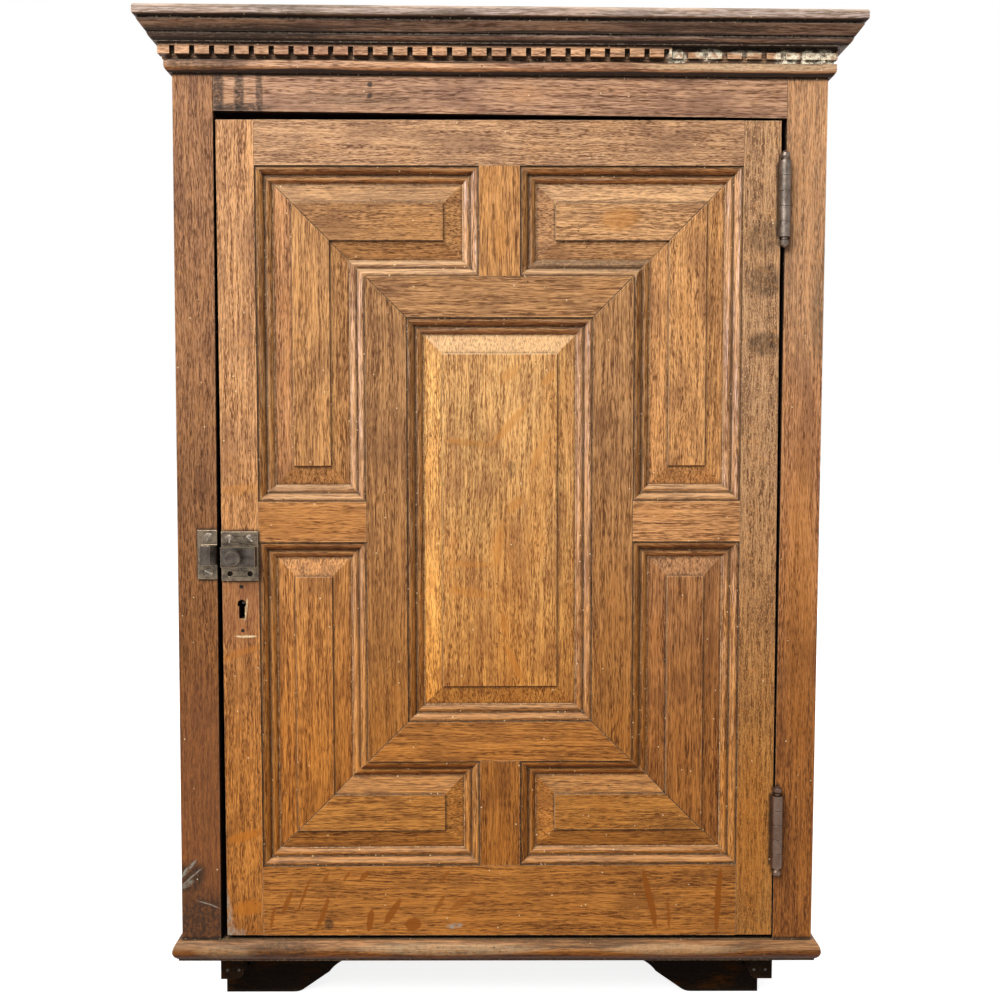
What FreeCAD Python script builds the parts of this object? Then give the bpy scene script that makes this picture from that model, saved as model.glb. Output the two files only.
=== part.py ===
"""Antique oak medicine cabinet with a geometric panelled door.

Lengths are in millimetres and angles in degrees. Carcass pieces are drawn with the face of the
front frame on y = 0, the back at +y and the top of the bottom board on z = 0. Door pieces are drawn
square in the same frame, and the placement of each door node then lets the door sag.
"""
import FreeCAD, Part
import os
import re
import Sketcher

DIMENSIONS = {
    # Carcass
    "body_width": 500.0, "body_depth": 215.0, "frame_height": 673.8, "frame_thickness": 22.0,
    "frame_stile": 30.7, "frieze_left": 27.8, "frieze_right": 30.5,
    "rail_tenon_length": 18.0, "rail_tenon_thickness": 8.0, "rail_tenon_height": 40.0,
    "rail_tenon_down": 10.0,
    "side_thickness": 16.0, "top_thickness": 12.0, "bottom_thickness": 16.5,
    "back_thickness": 10.0, "back_rebate": 6.0, "back_plank_gap": 0.8,
    "shelf_thickness": 12.0, "shelf_setback": 44.0, "shelf_dado": 5.0,
    "shelf_low_height": 212.0, "shelf_high_height": 424.0, "wood_fit": 0.1,
    # Cornice
    "bed_height": 8.9, "bed_out": 5.2, "bed_turn": 4.2, "bed_lip": 2.4, "bed_radius": 7.0,
    "dentil_height": 11.5, "dentil_out": 8.8, "notch_height": 9.2, "notch_width": 4.0,
    "notch_depth": 5.2, "notch_pitch": 14.9, "notch_end": 9.2, "drip_height": 3.2, "drip_out": 3.0,
    "break_length": 130.0, "break_depth": 3.4, "break_return": 42.0, "break_top": 3.6,
    "break_top_depth": 5.0,
    "crown_height": 23.9, "crown_out": 23.5, "crown_fillet": 8.0, "crown_round": 2.6,
    "crown_under_round": 1.6, "crown_quirk_in": 3.9, "crown_quirk_drop": 1.1,
    "crown_slope_in": 2.5, "crown_slope_drop": 2.5, "crown_slope_end_in": 7.7, "crown_slope_end": 6.4,
    "crown_groove_in": 9.3, "crown_groove": 5.8, "crown_bead_in": 8.6, "crown_bead": 5.2,
    "crown_bead_radius": 6.5, "crown_foot_in": 12.5, "crown_foot": 0.6,
    # Base moulding and feet
    "base_lip": 2.6, "base_out": 6.6, "base_slope": 8.4, "base_slope_radius": 12.0, "base_nose": 6.6,
    "base_nose_radius": 9.0, "base_under": 2.4,
    "base_reach": 14.0,
    "foot_drop": 45.5, "runner_inset": 27.2, "runner_width": 18.0, "runner_drop": 22.5,
    "runner_front": 14.0, "runner_back": 14.0, "runner_round": 6.0,
    "bracket_length": 103.0, "bracket_flat": 56.0, "bracket_thickness": 18.0, "bracket_front": 40.0,
    "bracket_back": 36.0, "bracket_tail": 16.5, "toe_run": 8.0, "toe_rise": 2.6,
    "shin_run": 21.0, "shin_rise": 14.6, "knee_radius": 30.0, "left_foot_out": 0.9, "right_foot_in": 5.6,
    # Door frame
    "door_side_gap": 3.0, "door_thickness": 22.0, "door_head": 33.3, "door_gap": 3.2,
    "door_shift": 0.4, "sag_angle": 0.3, "door_stile": 28.8, "top_rail": 34.2, "bottom_rail": 56.5,
    "centre_half_width": 72.2, "inner_member": 31.5,
    "muntin_width": 31.5, "cross_rail": 31.5,
    "groove_front": 8.0, "groove_width": 5.5, "groove_depth": 6.0, "tongue_play": 0.6,
    "mitre_gap": 0.05,
    # Raised panels and panel mouldings
    "moulding_width": 13.0, "bevel_width": 14.6, "bevel_top": 4.5, "field_depth": 3.0,
    "lip_depth": 1.5, "lip_width": 1.3, "ovolo_width": 6.2, "ovolo_depth": 5.0, "ovolo_radius": 5.2,
    "quirk_depth": 5.8, "bead_start": 7.4, "bead_width": 12.3, "bead_depth": 7.7,
    "bead_radius": 5.0,
    # Hinges
    "hinge_drop": 60.1, "hinge_low": 87.9, "barrel_length": 57.5, "barrel_radius": 4.5,
    "barrel_gap": 0.3, "knuckle_count": 5, "knuckle_gap": 0.3, "pin_radius": 2.3,
    "pin_play": 0.05, "leaf_thickness": 1.8, "leaf_gap": 0.3, "leaf_width": 17.0,
    "leaf_play": 0.1, "finial_neck": 1.6, "finial_radius": 3.6, "finial_length": 7.0,
    # Turn latch and its keeper
    "latch_height": 306.6, "latch_width": 28.6, "plate_height": 38.4, "plate_thickness": 1.5,
    "case_width": 26.8, "case_height": 15.6, "case_out": 10.0, "case_wall": 1.3, "case_end_wall": 2.6,
    "screw_hole": 2.1, "screw_spread_x": 15.4, "screw_spread_z": 27.4,
    "crank_radius": 5.0, "crank_angle": 45.0, "crank_pin": 1.0, "crank_slot_play": 0.4, "crank_disc": 6.1,
    "crank_thickness": 1.8, "bolt_thickness": 4.4, "bolt_nose": 8.0, "bolt_tail": 12.4,
    "bolt_tail_left": 3.2, "bolt_tail_right": 7.6, "bolt_play": 0.3, "bolt_set_in": 0.4,
    "spindle_radius": 2.4, "spindle_play": 0.05, "knob_neck": 3.4,
    "knob_start": 14.6, "knob_radius": 6.4, "knob_out": 21.5,
    "knob_flare": 2.4, "knob_round": 1.0, "knob_offset": 2.2,
    "keeper_width": 15.2, "keeper_plate_set": 0.3, "keeper_rise": 1.2, "keeper_box": 12.0,
    "keeper_box_height": 15.6, "keeper_out": 9.0, "keeper_wall": 1.4, "keeper_end_wall": 2.8,
    "keeper_pocket": 5.2, "cheek_width": 4.0, "cheek_drop": 3.0, "keeper_screw_in": 6.6,
    # Door lock
    "key_height": 269.0, "key_inset": 15.0, "key_radius": 3.3, "key_slot": 4.4, "key_drop": 11.4,
    "lock_width": 27.4, "lock_inset": 0.7, "lock_above": 17.0, "lock_below": 26.0, "lock_out": 9.0,
    "lock_wall": 1.2, "lock_pin": 1.1, "lock_pin_front": 7.0, "lock_bolt_height": 9.0,
    "lock_bolt_thickness": 4.0, "lock_bolt_rise": 5.0, "lock_bolt_length": 24.0,
    "lock_bolt_play": 0.3, "talon_width": 6.0, "talon_height": 3.0, "talon_in": 13.0,
}

# Places worked out from the dimensions
BODY_HALF = "(body_width / 2)"
BODY_TOP = "(frame_height + bed_height + dentil_height + crown_height - top_thickness)"
OPENING_HALF = "(body_width / 2 - frame_stile)"
SIDE_INSIDE = "(body_width / 2 - side_thickness)"
BACK_FRONT = "(body_depth - back_thickness)"
DENTIL_BOTTOM = "(frame_height + bed_height)"
CROWN_BOTTOM = "(frame_height + bed_height + dentil_height)"
CARCASS_Y = "((crown_out - body_depth) / 2)"
CARCASS_Z = "(bottom_thickness + foot_drop)"
RUNNER_OUT = "(body_width / 2 - runner_inset)"
DOOR_HALF = "(body_width / 2 - frame_stile - door_side_gap)"
DOOR_CLEAR = f"({DOOR_HALF} - door_stile)"
INNER_X = "(centre_half_width + inner_member)"
LEG = f"({DOOR_CLEAR} - {INNER_X})"
DOOR_TOP = "(frame_height - door_head)"
FIELD_LOW = "(door_gap + bottom_rail)"
FIELD_HIGH = f"({DOOR_TOP} - top_rail)"
LAYOUT_CENTRE = f"(({FIELD_LOW} + {FIELD_HIGH}) / 2)"
FIELD_TOP = f"(({FIELD_HIGH} - {FIELD_LOW}) / 2)"
INNER_Z = f"({FIELD_TOP} - {LEG})"
CENTRE_Z = f"({INNER_Z} - inner_member)"
MUNTIN_HALF = "(muntin_width / 2)"
CROSS_HALF = "(cross_rail / 2)"
TENON = "(groove_depth - tongue_play)"
SAG_SLOPE = "tan(sag_angle * 1 deg)"
PANEL_FRONT = "(groove_front + wood_fit)"
TONGUE_THICKNESS = "(groove_width - 2 * wood_fit)"
HINGE_X = f"({DOOR_HALF} + leaf_thickness + leaf_gap / 2)"
HINGE_Y = "(-barrel_radius - barrel_gap)"
HINGES = {"high": f"({DOOR_TOP} - hinge_drop)", "low": "hinge_low"}
KNUCKLE = "((barrel_length - (knuckle_count - 1) * knuckle_gap) / knuckle_count)"
LATCH_X = f"(latch_width / 2 - {DOOR_HALF})"
KNOB_X = f"({LATCH_X} - knob_offset)"
CRANK_X = "(crank_radius * sin(crank_angle * 1 deg))"
CRANK_Z = "(crank_radius * cos(crank_angle * 1 deg))"
KEY_X = f"(key_inset - {DOOR_HALF})"
LOCK_LEFT = f"(lock_inset - {DOOR_HALF})"
LOCK_RIGHT = f"(lock_inset - {DOOR_HALF} + lock_width)"
LOCK_BOLT_LOW = "(key_height + lock_bolt_rise)"

# Widths and heights along a hinge pin's knop, as shares of its radius and length
KNOP_STEPS = ((1.0, 0.25), (0.94, 0.62), (0.0, 1.0))

doc = FreeCAD.newDocument("MedicineCabinet")
sizes = doc.addObject("Spreadsheet::Sheet", "Sizes")
nodes = []


def fill_sheet():
    """Write every dimension to its own named cell."""
    for row, (name, number) in enumerate(DIMENSIONS.items(), start=1):
        sizes.set(f"A{row}", name)
        sizes.set(f"B{row}", str(number))
        sizes.setAlias(f"B{row}", name)
    doc.recompute()


def qualified(expression):
    """Point each dimension named in an expression at its cell."""
    def cell(match):
        word = match[0]
        return f"Sizes.{word}" if word in DIMENSIONS else word
    return re.sub(r"[a-z_]+", cell, str(expression))


def value(expression):
    """The number that an expression gives now."""
    return float(sizes.evalExpression(qualified(expression)))


def bind(thing, name, expression):
    """Tie a property to the dimensions."""
    thing.setExpression(name, qualified(expression))


def point(pair):
    """A sketch point from two numbers."""
    return FreeCAD.Vector(pair[0], pair[1], 0)


def arc_middle(start, end, radius, turn):
    """The middle of the short arc between two points; turn is 1 to the left and -1 to the right."""
    chord = point(end) - point(start)
    sideways = FreeCAD.Vector(chord.y, -chord.x, 0).normalize()
    half = chord.Length / 2
    sagitta = radius - (radius * radius - half * half) ** 0.5
    return point(start) + chord * 0.5 + sideways * sagitta * turn


def add_edge(sketch, start, corner):
    """Draw one edge to a corner and say which of its ends come first and last."""
    end = (value(corner[0]), value(corner[1]))
    if len(corner) == 2:
        sketch.addGeometry(Part.LineSegment(point(start), point(end)), False)
        return 1, 2
    turn = corner[3]
    middle = arc_middle(start, end, value(corner[2]), turn)
    sketch.addGeometry(Part.Arc(point(start), middle, point(end)), False)
    return (1, 2) if turn > 0 else (2, 1)


def constrain(sketch, kind, arguments, expression):
    """Add one dimension to a sketch and tie it to the sheet."""
    number = sketch.addConstraint(Sketcher.Constraint(kind, *arguments, value(expression)))
    bind(sketch, f"Constraints[{number}]", expression)


def draw(sketch, outline):
    """Draw a closed outline whose corners follow the dimensions.

    A corner is (x, y), or (x, y, radius, turn) where an arc leads to it.
    """
    first = sketch.GeometryCount
    count = len(outline)
    ends = []
    for number, corner in enumerate(outline):
        before = outline[number - 1]
        ends.append(add_edge(sketch, (value(before[0]), value(before[1])), corner))
    for number, corner in enumerate(outline):
        edge = first + number
        after = (number + 1) % count
        joint = Sketcher.Constraint("Coincident", edge, ends[number][1], first + after, ends[after][0])
        sketch.addConstraint(joint)
        constrain(sketch, "DistanceX", (-1, 1, edge, ends[number][1]), corner[0])
        constrain(sketch, "DistanceY", (-1, 1, edge, ends[number][1]), corner[1])
        if len(corner) > 2:
            constrain(sketch, "Radius", (edge,), corner[2])


def draw_circle(sketch, x, y, radius):
    """Draw a circle whose place and size follow the dimensions."""
    ring = Part.Circle(point((value(x), value(y))), FreeCAD.Vector(0, 0, 1), value(radius))
    edge = sketch.addGeometry(ring, False)
    constrain(sketch, "DistanceX", (-1, 1, edge, 3), x)
    constrain(sketch, "DistanceY", (-1, 1, edge, 3), y)
    constrain(sketch, "Radius", (edge,), radius)


def new_body(name):
    """An empty body."""
    return doc.addObject("PartDesign::Body", name)


def sketch_on(body, plane, outlines, offset="0"):
    """A sketch of outlines on one of the body's planes, moved along the plane's normal.

    An outline of a single corner (x, y, radius) is a circle.
    """
    sketch = body.newObject("Sketcher::SketchObject", f"{body.Name}_sketch")
    support = [item for item in body.Origin.OriginFeatures if item.Role == f"{plane}_Plane"][0]
    sketch.AttachmentSupport = [(support, "")]
    sketch.MapMode = "FlatFace"
    bind(sketch, "AttachmentOffset.Base.z", offset)
    for outline in outlines:
        if len(outline) == 1:
            draw_circle(sketch, *outline[0])
        else:
            draw(sketch, outline)
    return sketch


def add_feature(body, kind, sketch, length, reverse):
    """A pad or a pocket of the given length."""
    feature = body.newObject(f"PartDesign::{kind}", f"{body.Name}_{kind.lower()}")
    feature.Profile = sketch
    feature.Reversed = reverse
    bind(feature, "Length", length)
    body.Tip = feature
    return feature


def pad_back(body, outlines, start, length):
    """Add material on front-view outlines, from depth start towards the back."""
    sketch = sketch_on(body, "XZ", outlines, f"-({start})")
    return add_feature(body, "Pad", sketch, length, True)


def pad_front(body, outlines, start, length):
    """Add material on front-view outlines, from depth start towards the front."""
    sketch = sketch_on(body, "XZ", outlines, f"-({start})")
    return add_feature(body, "Pad", sketch, length, False)


def pocket_back(body, outlines, start, length):
    """Cut front-view outlines away, from depth start towards the back."""
    sketch = sketch_on(body, "XZ", outlines, f"-({start})")
    return add_feature(body, "Pocket", sketch, length, False)


def pad_along(body, plane, outlines, start, length):
    """Add material on a section, from start along the plane's normal."""
    sketch = sketch_on(body, plane, outlines, start)
    return add_feature(body, "Pad", sketch, length, False)


def pocket_through(body, plane, outlines):
    """Cut outlines away right through the body, both ways from the plane."""
    sketch = sketch_on(body, plane, outlines)
    feature = body.newObject("PartDesign::Pocket", f"{body.Name}_through")
    feature.Profile = sketch
    feature.Type = "ThroughAll"
    feature.SideType = "Symmetric"
    body.Tip = feature
    return feature


def rectangle(left, low, right, high):
    """A rectangle's corners."""
    return [(left, low), (right, low), (right, high), (left, high)]


def circle(x, y, radius):
    """A circle as an outline of one corner."""
    return [(x, y, radius)]


def box(name, low, high):
    """A plain board between two corners."""
    board = doc.addObject("Part::Box", name)
    for side, start, end, axis in zip(("Length", "Width", "Height"), low, high, "xyz"):
        bind(board, side, f"({end}) - ({start})")
        bind(board, f"Placement.Base.{axis}", start)
    return board


def cylinder(name, x, y, z, radius, height):
    """An upright cylinder on a centre."""
    rod = doc.addObject("Part::Cylinder", name)
    bind(rod, "Radius", radius)
    bind(rod, "Height", height)
    for axis, place in zip("xyz", (x, y, z)):
        bind(rod, f"Placement.Base.{axis}", place)
    return rod


def fuse(name, pieces):
    """Join shapes into one solid."""
    joined = doc.addObject("Part::MultiFuse", name)
    joined.Shapes = pieces
    joined.Refine = True
    return joined


def cut(name, base, tool):
    """Take one shape away from another."""
    rest = doc.addObject("Part::Cut", name)
    rest.Base = base
    rest.Tool = tool
    return rest


def group(name, pieces):
    """Several solids kept apart in one object."""
    bundle = doc.addObject("Part::Compound", name)
    bundle.Links = pieces
    return bundle


def mirrored(name, source, axis, place="0"):
    """The mirror image of a piece across x = 0 or z = place."""
    image = doc.addObject("Part::Mirroring", name)
    image.Source = source
    image.Normal = FreeCAD.Vector(1, 0, 0) if axis == "x" else FreeCAD.Vector(0, 0, 1)
    bind(image, f"Base.{axis}", place)
    return image


def carcass_placement():
    """Where the carcass stands, with the part's origin on the floor under its middle."""
    return FreeCAD.Placement(FreeCAD.Vector(0, value(CARCASS_Y), value(CARCASS_Z)), FreeCAD.Rotation())


def door_placement():
    """Where the door hangs: turned by its sag about the middle of its layout."""
    sag = FreeCAD.Rotation(FreeCAD.Vector(0, 1, 0), -value("sag_angle"))
    middle = FreeCAD.Vector(0, 0, value(LAYOUT_CENTRE))
    place = FreeCAD.Vector(value("door_shift"), value(CARCASS_Y), value(CARCASS_Z))
    return FreeCAD.Placement(place, sag, middle)


def add_node(label, pieces, placement):
    """A finished sub-part: its solids, its label and its place."""
    node = group(label, pieces)
    node.Label = label
    node.Placement = placement
    nodes.append(node)
    return node


def stand(label, *pieces):
    """A sub-part that stands with the carcass."""
    return add_node(label, list(pieces), carcass_placement())


def hang(label, *pieces):
    """A sub-part that hangs with the door."""
    return add_node(label, list(pieces), door_placement())


# Carcass

def make_sides():
    """Side boards, with dadoes for the shelves and a rebate for the back planks."""
    side = new_body("side_board")
    plan = [(f"-{BODY_HALF}", "frame_thickness"), (f"-{SIDE_INSIDE}", "frame_thickness"),
            (f"-{SIDE_INSIDE}", BACK_FRONT), (f"-{SIDE_INSIDE} - back_rebate", BACK_FRONT),
            (f"-{SIDE_INSIDE} - back_rebate", "body_depth"), (f"-{BODY_HALF}", "body_depth")]
    pad_along(side, "XY", [plan], "0", BODY_TOP)
    dadoes = []
    for height in ("shelf_low_height", "shelf_high_height"):
        dadoes.append(rectangle(f"-{SIDE_INSIDE} - shelf_dado", f"{height} - wood_fit",
                                f"-{SIDE_INSIDE} + shelf_dado", f"{height} + shelf_thickness + wood_fit"))
    pocket_back(side, dadoes, "shelf_setback - wood_fit", "body_depth - shelf_setback")
    stand("side_panel_left", side)
    stand("side_panel_right", mirrored("side_board_image", side, "x"))


def make_shelves():
    """Two shelves let into the sides, their front edges behind the door and its lock."""
    reach = f"({SIDE_INSIDE} + shelf_dado - wood_fit)"
    for label, height in (("shelf_lower", "shelf_low_height"), ("shelf_upper", "shelf_high_height")):
        low = (f"-{reach}", "shelf_setback", height)
        high = (reach, f"{BACK_FRONT} - wood_fit", f"{height} + shelf_thickness")
        stand(label, box(f"{label}_board", low, high))


def make_back():
    """Two upright back planks in the rebates of the sides."""
    edge = f"({SIDE_INSIDE} + back_rebate - wood_fit)"
    for label, left, right in (("back_plank_left", f"-{edge}", "-back_plank_gap / 2"),
                               ("back_plank_right", "back_plank_gap / 2", edge)):
        stand(label, box(f"{label}_board", (left, BACK_FRONT, "0"), (right, "body_depth", BODY_TOP)))


def make_top_and_bottom():
    """The dust board on top and the bottom board that carries the frame."""
    stand("top_board", box("top_plank", (f"-{BODY_HALF}", "0", BODY_TOP),
                           (BODY_HALF, "body_depth", f"{BODY_TOP} + top_thickness")))
    stand("bottom_board", box("bottom_plank", (f"-{BODY_HALF}", "0", "-bottom_thickness"),
                              (BODY_HALF, "body_depth", "0")))


def rail_tenon(side, play):
    """The front-view outline of a frieze rail tenon on one side, or of its mortise with play."""
    inner = f"{side} * ({OPENING_HALF} - {play})"
    outer = f"{side} * ({OPENING_HALF} + rail_tenon_length + {play})"
    low = f"{BODY_TOP} - rail_tenon_height - {play}"
    left, right = (outer, inner) if side < 0 else (inner, outer)
    return rectangle(left, low, right, f"{BODY_TOP} - rail_tenon_down + {play}")


def make_frieze_rail():
    """The rail over the door; its lower edge runs out of level."""
    rail = new_body("frieze_rail_board")
    outline = [(f"-{OPENING_HALF}", "frame_height - frieze_left"),
               (OPENING_HALF, "frame_height - frieze_right"),
               (OPENING_HALF, BODY_TOP), (f"-{OPENING_HALF}", BODY_TOP)]
    pad_back(rail, [outline], "0", "frame_thickness")
    tenons = [rail_tenon(-1, "0"), rail_tenon(1, "0")]
    pad_back(rail, tenons, "(frame_thickness - rail_tenon_thickness) / 2", "rail_tenon_thickness")
    stand("frieze_rail", rail)


def carcass_stile_body(name, side):
    """One upright of the front frame with the mortise for the frieze rail."""
    stile = new_body(name)
    left, right = (f"-{BODY_HALF}", f"-{OPENING_HALF}") if side < 0 else (OPENING_HALF, BODY_HALF)
    pad_back(stile, [rectangle(left, "0", right, BODY_TOP)], "0", "frame_thickness")
    pocket_back(stile, [rail_tenon(side, "wood_fit")],
                "(frame_thickness - rail_tenon_thickness) / 2 - wood_fit",
                "rail_tenon_thickness + 2 * wood_fit")
    return stile


def hinge_recess(name, middle):
    """The space that a closed hinge needs in the edge of the carcass stile."""
    space = "(leaf_thickness + leaf_gap / 2 + leaf_play)"
    half = "(barrel_length / 2 + leaf_play)"
    low = (f"{HINGE_X} - {space}", f"{HINGE_Y}", f"{middle} - {half}")
    high = (f"{HINGE_X} + {space}", "leaf_width + leaf_play", f"{middle} + {half}")
    return box(name, low, high)


def make_carcass_stiles():
    """Front uprights; the right one is let in where the hinges lie."""
    stand("carcass_stile_left", carcass_stile_body("left_stile", -1))
    recesses = group("hinge_recesses", [hinge_recess(f"recess_{name}", HINGES[name]) for name in HINGES])
    hung = door_placement()
    stood = carcass_placement()
    recesses.Placement = stood.inverse() * hung
    stand("carcass_stile_right", cut("right_stile", carcass_stile_body("right_upright", 1), recesses))


# Mouldings round the carcass

def mitre_cuts(reach):
    """Plan outlines that mitre the two ends of a front length."""
    left = [(f"-{BODY_HALF}", "0"), (f"-{BODY_HALF} - {reach}", "0"),
            (f"-{BODY_HALF} - {reach}", f"-{reach}")]
    right = [(BODY_HALF, "0"), (f"{BODY_HALF} + {reach}", f"-{reach}"), (f"{BODY_HALF} + {reach}", "0")]
    return [left, right]


def return_cut(reach):
    """Plan outline that mitres the front end of the left return."""
    edge = f"-{BODY_HALF}"
    return [(edge, "0"), (f"{edge} - {reach}", f"-{reach}"), (edge, f"-{reach}")]


def front_section(profile):
    """A profile of (out, height) corners drawn in the side view; arcs keep their sense."""
    return [(f"-({corner[0]})", *corner[1:]) for corner in profile]


def left_section(profile):
    """The same profile drawn in the front view for the left return."""
    return [(f"-{BODY_HALF} - ({corner[0]})", *corner[1:]) for corner in profile]


def make_return(name, profile, reach):
    """The left return of a moulding round the carcass, mitred at its front end."""
    left = new_body(name)
    pad_back(left, [left_section(profile)], f"-{reach}", f"body_depth + {reach}")
    pocket_through(left, "XY", [return_cut(reach)])
    return left


def make_run(name, profile, reach):
    """One moulding round the carcass: a mitred front length and a left return."""
    front = new_body(f"{name}_front_length")
    start, length = f"-{BODY_HALF} - {reach}", f"body_width + 2 * {reach}"
    pad_along(front, "YZ", [front_section(profile)], start, length)
    pocket_through(front, "XY", mitre_cuts(reach))
    return front, make_return(f"{name}_return", profile, reach)


def stand_run(name, front, left):
    """The three sub-parts of a moulding that runs round the carcass."""
    stand(f"{name}_front", front)
    stand(f"{name}_left", left)
    stand(f"{name}_right", mirrored(f"{name}_return_image", left, "x"))


def make_crown():
    """The crown: a rounded top fillet over a quirk, a straight slope, a groove and a bead."""
    rise = f"{CROWN_BOTTOM} + "
    shoulder = f"{rise}crown_height - crown_fillet"
    profile = [
        ("0", CROWN_BOTTOM), ("0", f"{rise}crown_height"),
        ("crown_out - crown_round", f"{rise}crown_height"),
        ("crown_out", f"{rise}crown_height - crown_round", "crown_round", 1),
        ("crown_out", f"{shoulder} + crown_under_round"),
        ("crown_out - crown_under_round", shoulder, "crown_under_round", 1),
        ("crown_out - crown_quirk_in", f"{shoulder} - crown_quirk_drop"),
        ("crown_out - crown_slope_in", f"{shoulder} - crown_slope_drop"),
        ("crown_out - crown_slope_end_in", f"{rise}crown_slope_end"),
        ("crown_out - crown_groove_in", f"{rise}crown_groove"),
        ("crown_out - crown_bead_in", f"{rise}crown_bead"),
        ("crown_out - crown_foot_in", f"{rise}crown_foot", "crown_bead_radius", 1),
        ("crown_out - crown_foot_in", CROWN_BOTTOM)]
    stand_run("crown_mould", *make_run("crown", profile, "crown_out"))


def make_bed_mould():
    """The plain bed mould, rounded under."""
    profile = [
        ("0", "frame_height"), ("0", DENTIL_BOTTOM), ("bed_out", DENTIL_BOTTOM),
        ("bed_out", "frame_height + bed_turn"),
        ("bed_lip", "frame_height", "bed_radius", 1)]
    stand_run("bed_mould", *make_run("bed", profile, "bed_out"))


def make_base_mould():
    """The base moulding: a round slope over a round nose."""
    low = "-bottom_thickness"
    nose_end = "-base_slope - base_nose"
    profile = [
        ("0", low), ("0", "0"), ("base_lip", "0"),
        ("base_out", "-base_slope", "base_slope_radius", 1),
        ("base_under", nose_end, "base_nose_radius", 1), ("base_under", low)]
    stand_run("base_mould", *make_run("base", profile, "base_reach"))


def notch_count(length):
    """How many whole notches fit on a dentil strip."""
    return int((value(length) - value("notch_end") - value("notch_width")) // value("notch_pitch")) + 1


def add_notches(strip, plane, first, turn, length):
    """Cut the first notch of a dentil strip and repeat it along the strip."""
    sketch = sketch_on(strip, plane, [first])
    notch = add_feature(strip, "Pocket", sketch, f"{DENTIL_BOTTOM} + notch_height", True)
    pattern = strip.newObject("PartDesign::LinearPattern", f"{strip.Name}_notches")
    pattern.Originals = [notch]
    pattern.Direction = (sketch, [turn])
    count = notch_count(length)
    pattern.Occurrences = count
    bind(pattern, "Length", f"{count - 1} * notch_pitch")
    strip.Tip = pattern


def cut_return_notches(strip):
    """Notch a left return of the dentil strip."""
    side = f"-{BODY_HALF} - dentil_out"
    first = "notch_end - dentil_out"
    notch = rectangle(side, first, f"{side} + notch_depth", f"{first} + notch_width")
    add_notches(strip, "XY", notch, "V_Axis", "body_depth + dentil_out")


def make_dentils():
    """Dentil strips notched from below; the right end of the front and of its return are broken back."""
    drip = f"{DENTIL_BOTTOM} + drip_height"
    profile = [("0", DENTIL_BOTTOM), ("0", CROWN_BOTTOM), ("dentil_out", CROWN_BOTTOM),
               ("dentil_out", drip), ("drip_out", drip), ("drip_out", DENTIL_BOTTOM)]
    front, left = make_run("dentil", profile, "dentil_out")
    face = "-dentil_out"
    start = f"-{BODY_HALF} - dentil_out + notch_end"
    add_notches(front, "XY", rectangle(start, face, f"{start} + notch_width", "notch_depth - dentil_out"),
                "H_Axis", "body_width + 2 * dentil_out")
    end = f"{BODY_HALF} + dentil_out"
    broken = rectangle(f"{end} - break_length", DENTIL_BOTTOM, end, CROWN_BOTTOM)
    pocket_back(front, [broken], face, "break_depth")
    broken_top = rectangle(f"{end} - break_length", f"{CROWN_BOTTOM} - break_top", end, CROWN_BOTTOM)
    pocket_back(front, [broken_top], face, "break_top_depth")
    cut_return_notches(left)
    right = make_return("dentil_broken_return", profile, "dentil_out")
    cut_return_notches(right)
    side = f"-{BODY_HALF} - dentil_out"
    broken_end = rectangle(side, face, f"{side} + break_depth", f"{face} + break_return")
    pocket_through(right, "XY", [broken_end])
    stand("dentil_strip_front", front)
    stand("dentil_strip_left", left)
    stand("dentil_strip_right", mirrored("dentil_broken_image", right, "x"))


# Feet

def make_runners():
    """Runners from front to back under the bottom board, rounded at the lower inner edge."""
    runner = new_body("runner_bar")
    top = "-bottom_thickness"
    low = "-bottom_thickness - runner_drop"
    inside = f"runner_width - {RUNNER_OUT}"
    outline = [(f"-{RUNNER_OUT}", low), (f"{inside} - runner_round", low),
               (inside, f"{low} + runner_round", "runner_round", 1), (inside, top),
               (f"-{RUNNER_OUT}", top)]
    pad_back(runner, [outline], "runner_front", "body_depth - runner_front - runner_back")
    stand("foot_runner_left", runner)
    stand("foot_runner_right", mirrored("runner_image", runner, "x"))


def bracket_body(name, front, outer):
    """A left bracket foot with a round toe and a hollow knee, notched over its runner."""
    bracket = new_body(name)
    top = "-bottom_thickness"
    floor = "-bottom_thickness - foot_drop"
    toe = f"bracket_flat - {outer}"
    toe_radius = "(toe_run ^ 2 + toe_rise ^ 2) / (2 * toe_rise)"
    end = f"bracket_length - {outer}"
    corners = [
        (f"-{outer}", top), (f"-{outer}", floor), (toe, floor),
        (f"{toe} + toe_run", f"{floor} + toe_rise", toe_radius, 1),
        (f"{toe} + toe_run + shin_run", f"{floor} + toe_rise + shin_rise"),
        (end, f"{top} - bracket_tail", "knee_radius", -1), (end, top)]
    pad_back(bracket, [corners], front, "bracket_thickness")
    notch = rectangle(f"-{outer} - wood_fit", f"{top} - runner_drop - wood_fit",
                      f"runner_width - {RUNNER_OUT} + wood_fit", f"{top} + wood_fit")
    pocket_back(bracket, [notch], front, "bracket_thickness")
    return bracket


def make_brackets():
    """Bracket feet: a pair behind the front edge and a pair before the back."""
    for label, front in (("bracket_feet_front", "bracket_front"),
                         ("bracket_feet_rear", "body_depth - bracket_back - bracket_thickness")):
        left = bracket_body(f"{label}_left", front, f"({RUNNER_OUT} + left_foot_out)")
        right = bracket_body(f"{label}_right", front, f"({RUNNER_OUT} - right_foot_in)")
        stand(label, left, mirrored(f"{label}_image", right, "x"))


# Door frame

def z_at(rise):
    """A height measured from the middle of the door's layout."""
    return f"{LAYOUT_CENTRE} + ({rise})"


def door_bottom(x):
    """The door's lower edge at x, planed level with the bottom board."""
    return f"door_gap - ({x}) * {SAG_SLOPE}"


def plough(body, strips):
    """Groove the edges of a frame member."""
    pocket_back(body, strips, "groove_front", "groove_width")


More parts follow.
